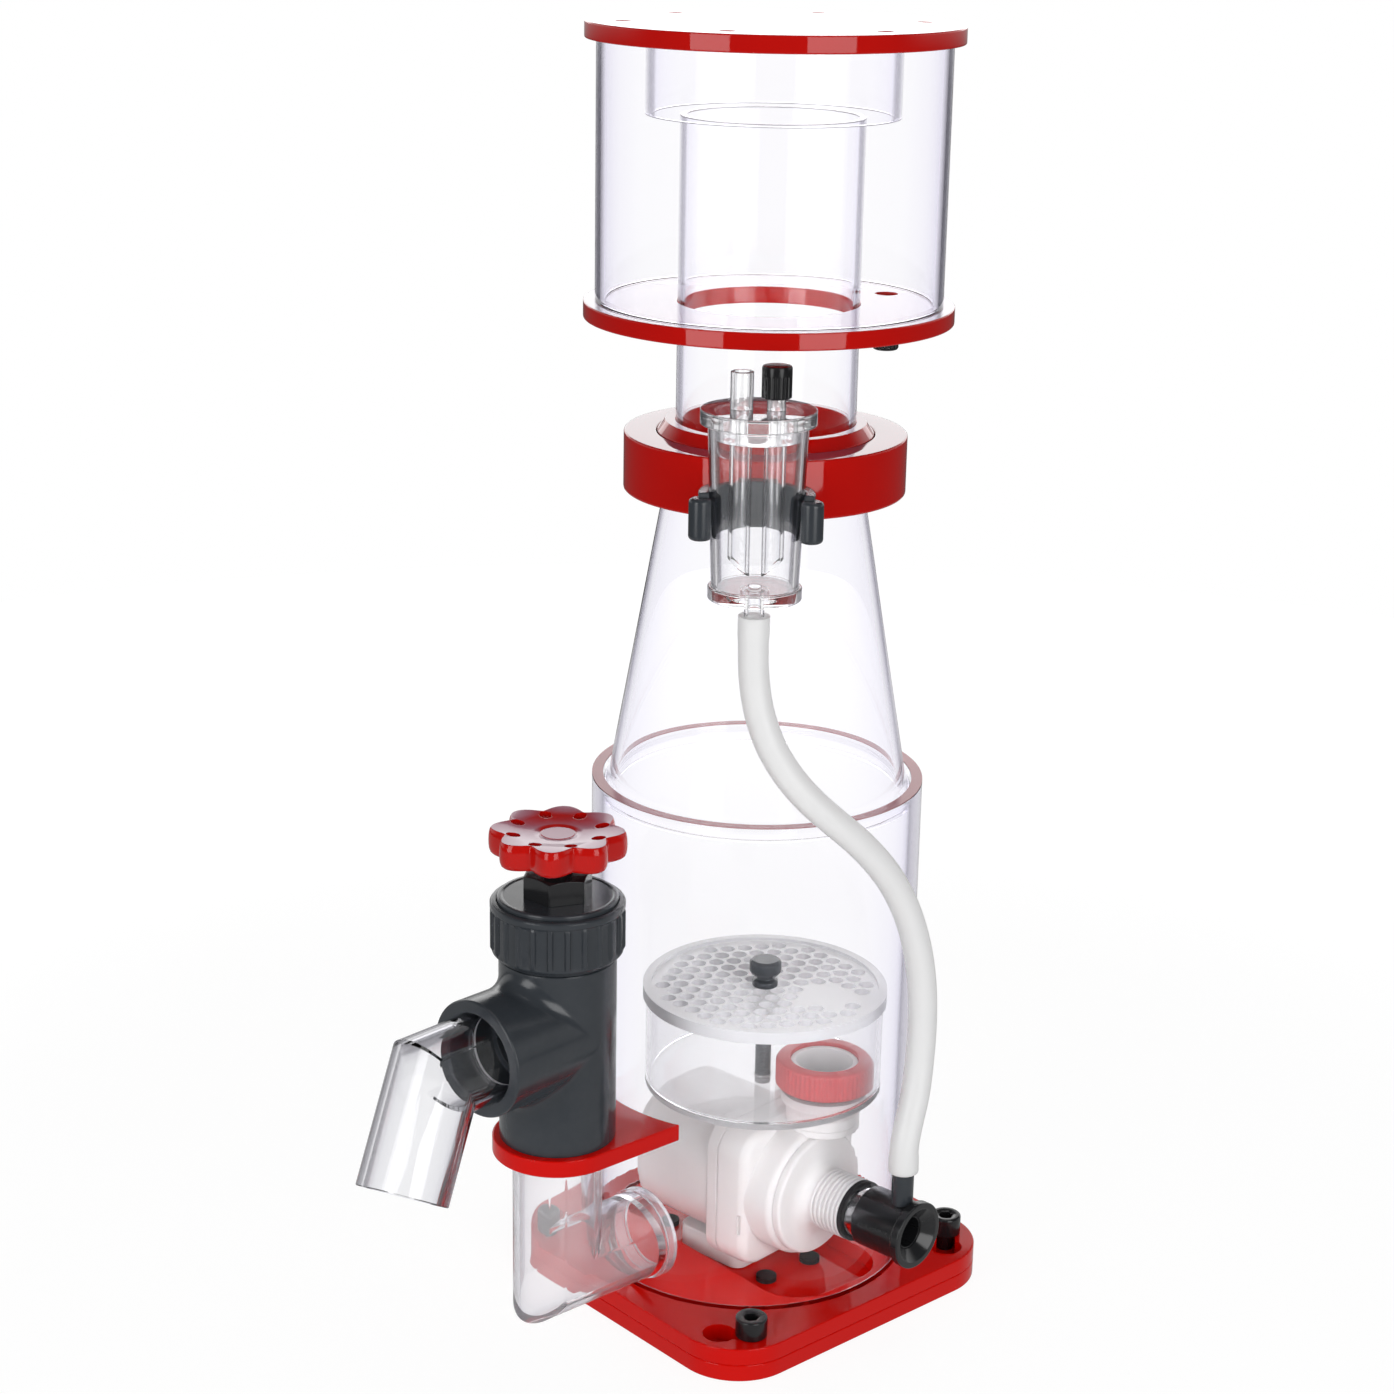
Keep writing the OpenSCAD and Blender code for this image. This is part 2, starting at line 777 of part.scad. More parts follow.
module lid_plate() {
    color(red) difference() {
        translate([0, 0, cup_top]) cylinder(d = cup_plate_od, h = cup_plate_t);
        for (i = [0 : vent_count - 1]) rotate([0, 0, i * 360 / vent_count])
            translate([vent_circle_r, 0, cup_top - cut]) cylinder(d = vent_d, h = cup_plate_t + 2 * cut);
    }
}

module lid_skirt() {
    color(clear) translate([0, 0, neck_top]) tube(skirt_od / 2, skirt_od / 2 - skirt_wall, skirt_h);
}

// Silencer

// Open ring on a block, with a round lobe at each end of the ring
module silencer_clip() {
    ring_r = clip_bore_r + clip_t;
    lobe_reach = clip_bore_r + clip_lobe_d / 2;
    color(dark) difference() {
        at_silencer(clip_z) linear_extrude(clip_h) {
            difference() {
                union() {
                    circle(r = ring_r);
                    translate([-silencer_gap - cut, -clip_block_w / 2]) square([silencer_gap, clip_block_w]);
                }
                circle(r = clip_bore_r);
                polygon([[0, 0], for (s = [-1, 1]) 3 * ring_r * [cos(clip_half_gap), s * sin(clip_half_gap)]]);
            }
            for (s = [-1, 1]) rotate(s * clip_half_gap) translate([lobe_reach, 0]) circle(d = clip_lobe_d);
        }
        translate([0, 0, collar_z - cut]) cylinder(d = collar_od + 2 * bond_gap, h = collar_h + 2 * cut);
    }
}

module silencer_body() {
    bore_z = silencer_z + silencer_floor;
    bore_foot_r = silencer_foot_od / 2 - silencer_wall;
    color(clear) at_silencer(0) rotate_extrude() polygon([
        [nipple_bore_r, silencer_z - nipple_drop - nipple_l], [nipple_r, silencer_z - nipple_drop - nipple_l],
        [nipple_r, silencer_z - nipple_boss_h], [nipple_boss_r, silencer_z - nipple_boss_h],
        [nipple_boss_r, silencer_z], [silencer_foot_flange, silencer_z], [silencer_foot_flange, bore_z],
        [silencer_foot_od / 2, bore_z], [silencer_top_od / 2, silencer_top],
        [silencer_bore_top, silencer_top], [bore_foot_r, bore_z], [nipple_bore_r, bore_z]
    ]);
}

module at_air_tube(side) {
    translate([0, side * air_tube_gap / 2, 0]) children();
}

// Lid with an open stub and a capped stub, and a socket for an air tube under each
module silencer_lid() {
    spigot_r = silencer_bore_top - 2 * slide_gap;
    stub_r = [inlet_stub_r, cap_stub_r];
    stub_l = [inlet_stub_l, cap_stub_l];
    color(clear) at_silencer(silencer_top) difference() {
        union() {
            cylinder(d = silencer_lid_od, h = silencer_lid_t);
            translate([0, 0, -lid_spigot]) cylinder(r = spigot_r, h = lid_spigot);
            for (i = [0, 1]) at_air_tube(2 * i - 1) cylinder(r = stub_r[i], h = silencer_lid_t + stub_l[i]);
        }
        for (i = [0, 1]) at_air_tube(2 * i - 1) {
            translate([0, 0, -lid_spigot - cut])
                cylinder(r = air_tube_r + bond_gap, h = lid_spigot + air_tube_socket + cut);
            cylinder(r = stub_r[i] - stub_wall, h = silencer_lid_t + stub_l[i] + cut);
        }
    }
}

// The tubes' lower ends are cut aslant
module air_tube(side) {
    slant = air_tube_r * tan(air_tube_slant);
    foot = air_tube_end - slant;
    at_air_tube(side) difference() {
        translate([0, 0, foot]) tube(air_tube_r, air_tube_bore_r, silencer_top + air_tube_socket - foot);
        translate([0, 0, air_tube_end]) rotate([side * air_tube_slant, 0, 0]) mirror([0, 0, 1]) half_space();
    }
}

module silencer_tubes() {
    color(clear) at_silencer(0) {
        air_tube(-1);
        air_tube(1);
    }
}

module air_cap() {
    rib_d = 1.2;
    color(black) at_silencer(silencer_top + silencer_lid_t + cap_lift) at_air_tube(1) difference() {
        union() {
            cylinder(d = cap_d, h = cap_h - edge_bevel);
            translate([0, 0, cap_h - edge_bevel]) cylinder(d1 = cap_d, d2 = cap_d - 2 * edge_bevel, h = edge_bevel);
        }
        translate([0, 0, -cut]) cylinder(r = cap_stub_r + run_gap, h = cap_h - cap_roof + cut);
        for (i = [0 : cap_ribs - 1]) rotate([0, 0, i * 360 / cap_ribs])
            translate([cap_d / 2 + rib_d / 4, 0, -cut]) cylinder(d = rib_d, h = cap_h - cap_roof + cut);
    }
}

// Air hose: rings of points square to the route, joined into a hollow tube

function unit(v) = v / norm(v);
function hose_dir(i) =
    let (last = len(hose_route) - 1)
    unit(hose_route[min(i + 1, last)] - hose_route[max(i - 1, 0)]);
function hose_ring(i, r) =
    let (d = hose_dir(i), a = unit(cross(d, hose_ref)), b = cross(d, a))
    [for (k = [0 : hose_sides - 1])
        hose_route[i] + r * (a * cos(360 * k / hose_sides) + b * sin(360 * k / hose_sides))];

module air_hose() {
    n = hose_sides;
    rings = len(hose_route);
    inner = rings * n;
    last = (rings - 1) * n;
    points = [for (r = [hose_r, hose_bore_r], i = [0 : rings - 1], p = hose_ring(i, r)) p];
    walls = [for (i = [0 : rings - 2], k = [0 : n - 1])
        let (a = i * n + k, b = i * n + (k + 1) % n)
        each [[a, b, b + n], [a, b + n, a + n],
              [inner + a, inner + b + n, inner + b], [inner + a, inner + a + n, inner + b + n]]];
    ends = [for (k = [0 : n - 1])
        let (b = (k + 1) % n)
        each [[k, inner + b, b], [k, inner + k, inner + b],
              [last + k, last + b, inner + last + b], [last + k, inner + last + b, inner + last + k]]];
    color(white) polyhedron(points, concat(walls, ends));
}

// Outlet pipe, riser, bracket and valve

module outlet_pipe() {
    pipe_l = -valve_y - body_ir + outlet_end;
    color(clear) at_valve(outlet_z) difference() {
        rotate([-90, 0, 0]) translate([0, 0, -pipe_od]) tube(pipe_r, pipe_bore_r, pipe_l + pipe_od);
        rotate([45, 0, 0]) half_space();
    }
}

module outlet_ring() {
    ring_y = -sqrt(pow(body_ir, 2) - pow(outlet_ring_d / 2, 2)) + slide_gap;
    color(clear) translate([0, ring_y, outlet_z]) rotate([-90, 0, 0])
        tube(outlet_ring_d / 2, pipe_r + bond_gap, outlet_ring_l);
}

module riser_pipe() {
    color(clear) at_valve(outlet_z) difference() {
        translate([0, 0, -pipe_od]) tube(pipe_r, pipe_bore_r, riser_top - outlet_z + pipe_od);
        rotate([45, 0, 0]) mirror([0, 0, 1]) half_space();
    }
}

module bracket() {
    color(red) difference() {
        at_valve(bracket_top - bracket_t) linear_extrude(bracket_t) {
            circle(d = bracket_w);
            translate([-bracket_w / 2, 0]) square([bracket_w, body_r]);
        }
        translate([0, 0, bracket_top - bracket_t - cut])
            cylinder(r = body_r + bond_gap, h = bracket_t + 2 * cut);
        at_valve(bracket_top - bracket_t - cut) cylinder(r = pipe_r + bond_gap, h = bracket_t + 2 * cut);
    }
}

module tee_body() {
    color(dark) difference() {
        union() {
            at_valve(bracket_top) cylinder(r = tee_r, h = nut_rise - slide_gap);
            at_valve(bracket_top) cylinder(r = thread_r, h = tee_top - bracket_top);
            on_branch(0) cylinder(d = branch_od, h = branch_reach);
        }
        at_valve(bracket_top - cut) cylinder(r = pipe_r + bond_gap, h = socket_depth + cut);
        at_valve(bracket_top) cylinder(r = pipe_bore_r, h = seat_top - bracket_top);
        at_valve(seat_top) cylinder(r = valve_bore_r, h = tee_top - seat_top + cut);
        on_branch(0) cylinder(r = pipe_bore_r, h = branch_reach);
        on_branch(branch_stop) cylinder(r = pipe_r + run_gap, h = branch_reach);
    }
}

// Ring with a bevelled foot, upright ribs, a thread bore and a lip over the bonnet
module union_nut() {
    flange_z = nut_z + thread_h - slide_gap;
    lip_z = tee_top + bonnet_flange_t + run_gap;
    nut_top = nut_z + nut_h;
    color(dark) at_valve(0) {
        rotate_extrude() polygon([
            [thread_r + run_gap, nut_z], [nut_root_r - nut_bevel, nut_z], [nut_root_r, nut_z + nut_bevel],
            [nut_root_r, nut_top - edge_bevel], [nut_root_r - edge_bevel, nut_top],
            [bonnet_disc_r + slide_gap, nut_top], [bonnet_disc_r + slide_gap, lip_z],
            [bonnet_flange_r + slide_gap, lip_z], [bonnet_flange_r + slide_gap, flange_z],
            [thread_r + run_gap, flange_z]
        ]);
        for (i = [0 : nut_ribs - 1]) rotate([0, 0, i * 360 / nut_ribs]) nut_rib(nut_top);
    }
}

module nut_rib(nut_top) {
    root = nut_root_r - edge_bevel;
    translate([root, -nut_rib_w / 2, nut_z + nut_bevel])
        cube([nut_od / 2 - root, nut_rib_w, nut_top - nut_z - 2 * nut_bevel]);
}

module bonnet() {
    plug_r = valve_bore_r - run_gap;
    groove_r = plug_r - plug_ring_d;
    ring_z = tee_top - plug_h / 2;
    color(dark) at_valve(0) rotate_extrude() polygon([
        [stem_r + run_gap, tee_top - plug_h], [plug_r, tee_top - plug_h], [plug_r, ring_z - plug_ring_d / 2],
        [groove_r, ring_z - plug_ring_d / 2], [groove_r, ring_z + plug_ring_d / 2],
        [plug_r, ring_z + plug_ring_d / 2], [plug_r, tee_top], [bonnet_flange_r, tee_top],
        [bonnet_flange_r, tee_top + bonnet_flange_t], [bonnet_disc_r, tee_top + bonnet_flange_t],
        [bonnet_disc_r, bonnet_top - edge_bevel], [bonnet_disc_r - edge_bevel, bonnet_top],
        [stem_r + run_gap, bonnet_top]
    ]);
}

module bonnet_o_ring() {
    color(black) at_valve(tee_top - plug_h / 2)
        torus(valve_bore_r - bond_gap - plug_ring_d / 2, plug_ring_d - 2 * bond_gap);
}

module gland_nut() {
    color(dark) at_valve(bonnet_top) difference() {
        intersection() {
            cylinder(d = gland_d, h = gland_h, $fn = 6);
            rotate_extrude() polygon([
                [0, 0], [gland_d / 2, 0], [gland_d / 2, gland_h - gland_bevel],
                [gland_d / 2 - 2 * gland_bevel, gland_h], [0, gland_h]
            ]);
        }
        translate([0, 0, -cut]) cylinder(r = stem_head_r + run_gap, h = gland_h + 2 * cut);
    }
}

module valve_stem() {
    collar_top_z = tee_top - plug_h - slide_gap;
    color(dark) at_valve(0) {
        translate([0, 0, stem_end]) cylinder(r = stem_r, h = stem_top - stem_end);
        translate([0, 0, bonnet_top + slide_gap]) cylinder(r = stem_head_r, h = stem_top - bonnet_top - slide_gap);
        translate([0, 0, collar_top_z - stem_collar_h]) cylinder(d = stem_collar_d, h = stem_collar_h);
    }
}

module wheel_outline() {
    circle(r = wheel_core_r);
    for (i = [0 : wheel_lobes - 1]) rotate(i * 360 / wheel_lobes)
        translate([wheel_d / 2 - lobe_d / 2, 0]) circle(d = lobe_d);
}

module handwheel() {
    color(red) at_valve(wheel_z) difference() {
        union() {
            difference() {
                linear_extrude(wheel_h) wheel_outline();
                translate([0, 0, wheel_h - dish_depth]) cylinder(r = dish_r, h = dish_depth + cut);
                translate([0, 0, -cut]) cylinder(r = dish_r, h = wheel_hollow_h + cut);
            }
            cylinder(r = hub_r, h = wheel_h - dish_depth / 2);
        }
        translate([0, 0, -cut]) cylinder(r = stem_head_r + bond_gap, h = stem_top - wheel_z + cut);
        for (i = [0 : wheel_lobes - 1]) rotate([0, 0, (i + 0.5) * 360 / wheel_lobes])
            translate([wheel_core_r - dimple_d, 0, wheel_h - dimple_depth]) cylinder(d = dimple_d, h = wheel_h);
    }
}

module valve_plunger() {
    color(dark) at_valve(plunger_z + plunger_seal_t) tube(plunger_r, stem_r + run_gap, plunger_h);
}

module plunger_seal() {
    color(black) at_valve(plunger_z) tube(plunger_r, stem_r + run_gap, plunger_seal_t);
}

// The two clear pipes of the elbow meet at a mitre

module elbow_mitre() {
    translate([0, 0, elbow_reach]) rotate([0, elbow_bend / 2, 0]) children();
}

module elbow_leg() {
    color(clear) on_branch(0) rotate([0, 0, elbow_turn]) difference() {
        translate([0, 0, elbow_start]) tube(pipe_r, pipe_bore_r, elbow_reach - elbow_start + pipe_od);
        elbow_mitre() half_space();
        translate([0, 0, siphon_hole_reach]) rotate([0, -90, 0]) cylinder(d = siphon_hole_d, h = pipe_od);
    }
}

module elbow_spout() {
    color(clear) on_branch(0) rotate([0, 0, elbow_turn]) difference() {
        translate([0, 0, elbow_reach]) rotate([0, elbow_bend, 0])
            translate([0, 0, -pipe_od]) tube(pipe_r, pipe_bore_r, spout_l + pipe_od);
        elbow_mitre() mirror([0, 0, 1]) half_space();
    }
}

// Pump

module rubber_pads() {
    color(black) for (x = [pad_back, pad_front], s = [-1, 1])
        translate([x, s * pad_side, plate_t]) cylinder(d = pad_d, h = pad_t);
}

// Foot block under the housing and the pump block, just off the lower plate
module pump_foot() {
    foot_z = plate_t + slide_gap;
    color(white) rotate([0, 0, pump_yaw]) {
        translate([foot_back, -foot_w / 2, foot_z])
            cube([block_back - foot_back, foot_w, pump_z - motor_w / 2 - foot_z]);
        translate([block_back, -foot_w / 2, foot_z])
            cube([foot_front - block_back, foot_w, pump_z - block_w / 2 - foot_z]);
    }
}

module motor_housing() {
    bore_w = motor_w - 2 * motor_wall;
    color(white) on_pump(motor_back) difference() {
        union() {
            translate([0, 0, motor_bevel]) linear_extrude(motor_l - motor_bevel)
                rounded_rect(motor_w, motor_w, motor_corner_r);
            linear_extrude(motor_bevel)
                rounded_rect(motor_w - motor_bevel, motor_w - motor_bevel, motor_corner_r - motor_bevel / 2);
        }
        translate([0, 0, motor_wall + motor_bevel]) linear_extrude(motor_l)
            rounded_rect(bore_w, bore_w, motor_corner_r - motor_wall);
        translate([-gland_rise, 0, -cut]) cylinder(d = cable_bore_d, h = motor_wall + motor_bevel + 2 * cut);
    }
}

module cable_gland() {
    color(black) on_pump(motor_back - gland_stub_l) translate([-gland_rise, 0, 0])
        tube(gland_stub_d / 2, cable_bore_d / 2, gland_stub_l);
}

// Cup that keeps the rotor's water from the stator
module rotor_can() {
    can_l = block_back - can_end;
    color(white) on_pump(can_end) {
        difference() {
            union() {
                cylinder(r = can_r, h = can_l);
                translate([0, 0, can_l - can_flange_t]) cylinder(r = can_flange_r, h = can_flange_t);
            }
            translate([0, 0, bearing_boss]) cylinder(r = can_r - can_wall, h = can_l);
        }
        translate([0, 0, bearing_boss]) tube(bearing_r + bearing_boss, bearing_r + bond_gap, bearing_l);
    }
}

module stator() {
    color([0.45, 0.25, 0.12]) on_pump(block_back - can_flange_t - stator_l) difference() {
        tube(stator_r, can_r + bond_gap, stator_l);
        for (i = [0 : stator_notches - 1]) rotate([0, 0, i * 360 / stator_notches])
            translate([stator_r - stator_notch_w, -stator_notch_w / 2, -cut])
                cube([2 * stator_notch_w, stator_notch_w, stator_l + 2 * cut]);
    }
}

module rotor_bearings() {
    color(white) {
        on_pump(can_end + bearing_boss) tube(bearing_r, shaft_r + run_gap, bearing_l);
        on_pump(front_bearing_back) tube(front_bearing_r, shaft_r + run_gap, front_bearing_l);
    }
}

module rotor_magnet() {
    color(dark) on_pump(magnet_back) tube(magnet_r, shaft_r + bond_gap, magnet_front - magnet_back);
}

module rotor_shaft() {
    start = can_end + bearing_boss + slide_gap;
    color("silver") on_pump(start) cylinder(r = shaft_r, h = front_bearing_back + front_bearing_l - start - slide_gap);
}

// Disc with rings of pins that chop the air into bubbles
module impeller() {
    hub_l = impeller_disc_back + impeller_disc_t + pin_l - magnet_front;
    color(white) on_pump(impeller_disc_back) {
        tube(impeller_r, shaft_r + bond_gap, impeller_disc_t);
        translate([0, 0, magnet_front - impeller_disc_back]) tube(impeller_hub_r, shaft_r + bond_gap, hub_l);
        for (k = pin_rings) {
            pins = 4 * k;
            for (i = [0 : pins - 1]) rotate([0, 0, i * 360 / pins])
                translate([k * pin_pitch, 0, impeller_disc_t - cut]) cylinder(r = pin_r, h = pin_l + cut);
        }
    }
}

// Foot of the outlet: a full round above the cover, and below it only what the chamber carries
module outlet_foot(r, front, foot, top) {
    at_outlet(foot) cylinder(r = r, h = top - foot);
    intersection() {
        at_outlet(pump_z) cylinder(r = r, h = foot - pump_z + cut);
        on_pump(front) mirror([0, 0, 1]) half_space();
    }
}

module pump_volute() {
    color(white) difference() {
        union() {
            on_pump(block_back) linear_extrude(block_l) rounded_rect(block_w, block_w, block_corner_r);
            on_pump(block_front) cylinder(d = chamber_d, h = chamber_l);
            outlet_foot(outlet_r, chamber_front, tower_z, tower_joint_z);
        }
        on_pump(block_back - cut) cylinder(r = can_r - can_wall, h = block_l);
        on_pump(impeller_back) cylinder(r = impeller_room_r, h = chamber_front - impeller_back + cut);
        outlet_foot(outlet_bore_r, chamber_front - tower_wall, tower_z + tower_wall, tower_joint_z + cut);
        on_pump(block_back - cut) tube(volute_seal_r + volute_seal_w / 2 + bond_gap,
            volute_seal_r - volute_seal_w / 2 - bond_gap, volute_seal_w + cut);
    }
}

// Outlet tube with the shoulder that carries the drum, bonded on the volute's foot
module outlet_tower() {
    color(white) at_outlet(tower_joint_z) difference() {
        union() {
            cylinder(r = outlet_r, h = outlet_top - tower_joint_z);
            translate([0, 0, shoulder_z - shoulder_t - tower_joint_z]) cylinder(d = shoulder_d, h = shoulder_t);
        }
        translate([0, 0, -cut]) cylinder(r = outlet_bore_r, h = outlet_top - tower_joint_z + 2 * cut);
    }
}

module volute_seal() {
    color(black) on_pump(block_back)
        tube(volute_seal_r + volute_seal_w / 2, volute_seal_r - volute_seal_w / 2, volute_seal_w);
}

// Front cover: disc, inlet cone, threaded inlet and the front bearing's spokes
module inlet_cover() {
    thread_l = inlet_end - cover_front - inlet_cone_l;
    inlet_r = inlet_d / 2;
    root_r = inlet_r - tooth_h;
    pitch = thread_l / inlet_teeth;
    teeth = [for (i = [0 : inlet_teeth - 1], k = [0 : 3])
        [k == 1 || k == 2 ? inlet_r : root_r, cover_t + inlet_cone_l + (i + [0, 0.3, 0.6, 0.9][k]) * pitch]];
    bore_step = spigot_start - chamber_front;
    end = inlet_end - chamber_front;
    color(white) on_pump(chamber_front) {
        rotate_extrude() polygon(concat(
            [[eye_r, 0], [cover_d / 2, 0], [cover_d / 2, cover_t], [inlet_r + inlet_cone_l, cover_t]],
            teeth,
            [[root_r, end], [spigot_r + bond_gap, end], [spigot_r + bond_gap, bore_step], [eye_r, bore_step]]
        ));
        tube(front_bearing_r + front_bearing_wall, front_bearing_r + bond_gap, cover_t);
        for (i = [0 : eye_spokes - 1]) rotate([0, 0, i * 360 / eye_spokes])
            translate([front_bearing_r + 1, -spoke_w / 2, 0]) cube([eye_r - front_bearing_r, spoke_w, cover_t]);
    }
}

module union_seal() {
    color(black) at_outlet(shoulder_z) tube(shoulder_d / 2, outlet_r + bond_gap, union_seal_t);
}

module outlet_nut() {
    r = outlet_nut_d / 2;
    rib_d = 1.4;
    color(red) at_outlet(drum_floor_top) difference() {
        cylinder(r = r, h = outlet_nut_h);
        translate([0, 0, -cut]) cylinder(r = outlet_r + run_gap, h = outlet_nut_h + 2 * cut);
        for (i = [0 : outlet_nut_ribs - 1]) rotate([0, 0, i * 360 / outlet_nut_ribs])
            translate([r + rib_d / 4, 0, -cut]) cylinder(d = rib_d, h = outlet_nut_h - edge_bevel + cut);
    }
}

module port_seal() {
    color(black) on_pump(inlet_end) tube(port_seal_r, spigot_r + bond_gap, port_seal_front - inlet_end);
}

module venturi() {
    r = venturi_d / 2;
    flange_r = venturi_flange_d / 2;
    throat_r = throat_d / 2;
    flange_z = venturi_front - funnel_l;
    barb_foot = r * 0.8;
    color(dark) difference() {
        union() {
            on_pump(0) rotate_extrude() polygon([
                [throat_r, spigot_start], [spigot_r, spigot_start], [spigot_r, venturi_back], [r, venturi_back],
                [r, flange_z], [flange_r, flange_z + edge_bevel], [flange_r, venturi_front],
                [funnel_r, venturi_front], [throat_r, flange_z]
            ]);
            rotate([0, 0, pump_yaw]) translate([barb_u, 0, pump_z + barb_foot]) {
                cylinder(r = barb_r, h = barb_top - pump_z - barb_foot);
                cylinder(r = barb_nipple_r, h = barb_top + nipple_l - pump_z - barb_foot);
            }
        }
        rotate([0, 0, pump_yaw]) translate([barb_u, 0, pump_z]) cylinder(r = nipple_bore_r, h = barb_top);
    }
}

// Bubble plate

module diffuser_drum() {
    color(clear) difference() {
        at_drum(drum_z) {
            tube(drum_r, drum_r - drum_wall, drum_h);
            cylinder(r = drum_r, h = drum_floor_t);
        }
        at_outlet(drum_z - cut) cylinder(r = outlet_r + bond_gap, h = drum_floor_t + 2 * cut);
        at_drum(drum_z - cut) cylinder(r = rod_r + run_gap, h = drum_floor_t + 2 * cut);
    }
}

// Hole centres of a hexagonal grid, left out round the rod and over the pump's outlet
function outlet_center() = let (p = [outlet_u, outlet_side])
    [p.x * cos(pump_yaw) - p.y * sin(pump_yaw), p.x * sin(pump_yaw) + p.y * cos(pump_yaw)] - drum_center;
function bubble_grid() =
    let (rows = ceil(hole_field_r / bubble_pitch) + 1)
    [for (i = [-rows : rows], j = [-rows : rows])
        let (p = bubble_pitch * [i + (abs(j) % 2) / 2, j * sin(60)])
        if (norm(p) < hole_field_r && norm(p) > knob_d / 2 && norm(p - outlet_center()) > blank_r) p];

module bubble_plate() {
    color(clear) at_drum(drum_top) {
        linear_extrude(bubble_plate_t) difference() {
            circle(r = drum_r + plate_lip);
            circle(r = rod_r + run_gap);
            for (p = bubble_grid()) translate(p) circle(d = bubble_hole_d, $fn = 24);
        }
        translate([0, 0, bubble_plate_t]) tube(drum_r + plate_lip, drum_r - drum_wall, plate_lip_h);
    }
}

module plate_rod() {
    start = drum_z - rod_tip;
    color(dark) at_drum(start) {
        cylinder(r1 = rod_r - edge_bevel, r2 = rod_r, h = edge_bevel);
        translate([0, 0, edge_bevel]) cylinder(r = rod_r, h = plate_top - start - edge_bevel);
    }
}

module plate_knob() {
    r = knob_d / 2;
    neck_z = plate_top + knob_collar_h;
    head_z = neck_z + knob_neck_h;
    knob_top = head_z + knob_head_h;
    color(dark) at_drum(0) rotate_extrude() polygon([
        [0, plate_top], [r * 0.8, plate_top], [r * 0.8, neck_z], [r * 0.6, neck_z + knob_neck_h / 3],
        [r * 0.6, neck_z + knob_neck_h / 2], [r, head_z + knob_head_h / 3], [r, knob_top - edge_bevel],
        [r - edge_bevel, knob_top], [0, knob_top]
    ]);
}

foot_plate();
lock_screws();
body_plate();
base_seal();
body_tube();
cone();
collar();
neck_o_ring();
neck_ring();
neck_tube();
cup_floor();
cup_tube();
drain_fitting();
drain_cap();
lid_plate();
lid_skirt();
silencer_clip();
silencer_body();
silencer_lid();
silencer_tubes();
air_cap();
air_hose();
outlet_pipe();
outlet_ring();
riser_pipe();
bracket();
tee_body();
union_nut();
bonnet();
bonnet_o_ring();
gland_nut();
valve_stem();
handwheel();
valve_plunger();
plunger_seal();
elbow_leg();
elbow_spout();
rubber_pads();
pump_foot();
motor_housing();
cable_gland();
rotor_can();
stator();
rotor_bearings();
rotor_magnet();
rotor_shaft();
impeller();
pump_volute();
outlet_tower();
volute_seal();
inlet_cover();
union_seal();
outlet_nut();
port_seal();
venturi();
diffuser_drum();
bubble_plate();
plate_rod();
plate_knob();
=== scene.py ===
import json
import math

import bmesh
import bpy
from mathutils import Matrix, Vector

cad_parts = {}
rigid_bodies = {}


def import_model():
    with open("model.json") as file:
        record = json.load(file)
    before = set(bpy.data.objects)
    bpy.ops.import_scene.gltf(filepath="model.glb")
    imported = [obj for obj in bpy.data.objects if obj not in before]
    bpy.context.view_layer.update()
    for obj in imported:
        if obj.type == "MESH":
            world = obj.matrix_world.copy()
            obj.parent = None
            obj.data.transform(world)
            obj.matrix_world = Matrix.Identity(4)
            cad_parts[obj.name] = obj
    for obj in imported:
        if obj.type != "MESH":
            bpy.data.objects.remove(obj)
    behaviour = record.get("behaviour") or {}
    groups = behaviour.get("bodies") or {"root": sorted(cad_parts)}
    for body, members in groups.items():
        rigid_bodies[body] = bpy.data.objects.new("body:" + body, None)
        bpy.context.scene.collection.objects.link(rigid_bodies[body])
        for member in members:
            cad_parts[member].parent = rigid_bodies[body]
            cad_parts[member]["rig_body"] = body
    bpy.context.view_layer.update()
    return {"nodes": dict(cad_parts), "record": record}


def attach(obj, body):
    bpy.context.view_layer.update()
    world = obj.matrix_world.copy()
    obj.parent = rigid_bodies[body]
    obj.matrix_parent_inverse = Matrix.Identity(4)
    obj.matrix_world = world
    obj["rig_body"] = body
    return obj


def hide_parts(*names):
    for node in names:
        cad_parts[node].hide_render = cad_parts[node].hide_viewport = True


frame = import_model()
cadNodes = frame["nodes"]
scene = bpy.context.scene
mm = 0.001
print("frame loaded with", len(cadNodes), "nodes")

# camera
cameraSet = {
    "place": (853.893, -794.701, 656.442),
    "right": (0.65941664, 0.75158621, 0.01696681),
    "up": (-0.23925976, 0.18841618, 0.95249888),
    "back": (0.71268819, -0.63215308, 0.3040691),
    "lens": 70.11,
    "sensor": 36,
}
cameraData = bpy.data.cameras.new("camera")
cameraData.lens = cameraSet["lens"]
cameraData.sensor_width = cameraSet["sensor"]
camera = bpy.data.objects.new("camera", cameraData)
cameraTurn = Matrix((cameraSet["right"], cameraSet["up"], cameraSet["back"])).transposed().to_4x4()
camera.matrix_world = Matrix.Translation(Vector(cameraSet["place"]) * mm) @ cameraTurn
scene.collection.objects.link(camera)
scene.camera = camera
scene.view_settings.view_transform = "Standard"
scene.cycles.max_bounces = 40
scene.cycles.transmission_bounces = 36
scene.cycles.glossy_bounces = 8
scene.cycles.use_denoising = True
print("camera set")


# node helpers
def addNode(tree, kind, inputs=None, **settings):
    node = tree.nodes.new(kind)
    for key, value in settings.items():
        setattr(node, key, value)
    for key, value in (inputs or {}).items():
        if isinstance(value, bpy.types.NodeSocket):
            tree.links.new(value, node.inputs[key])
        else:
            node.inputs[key].default_value = value
    return node


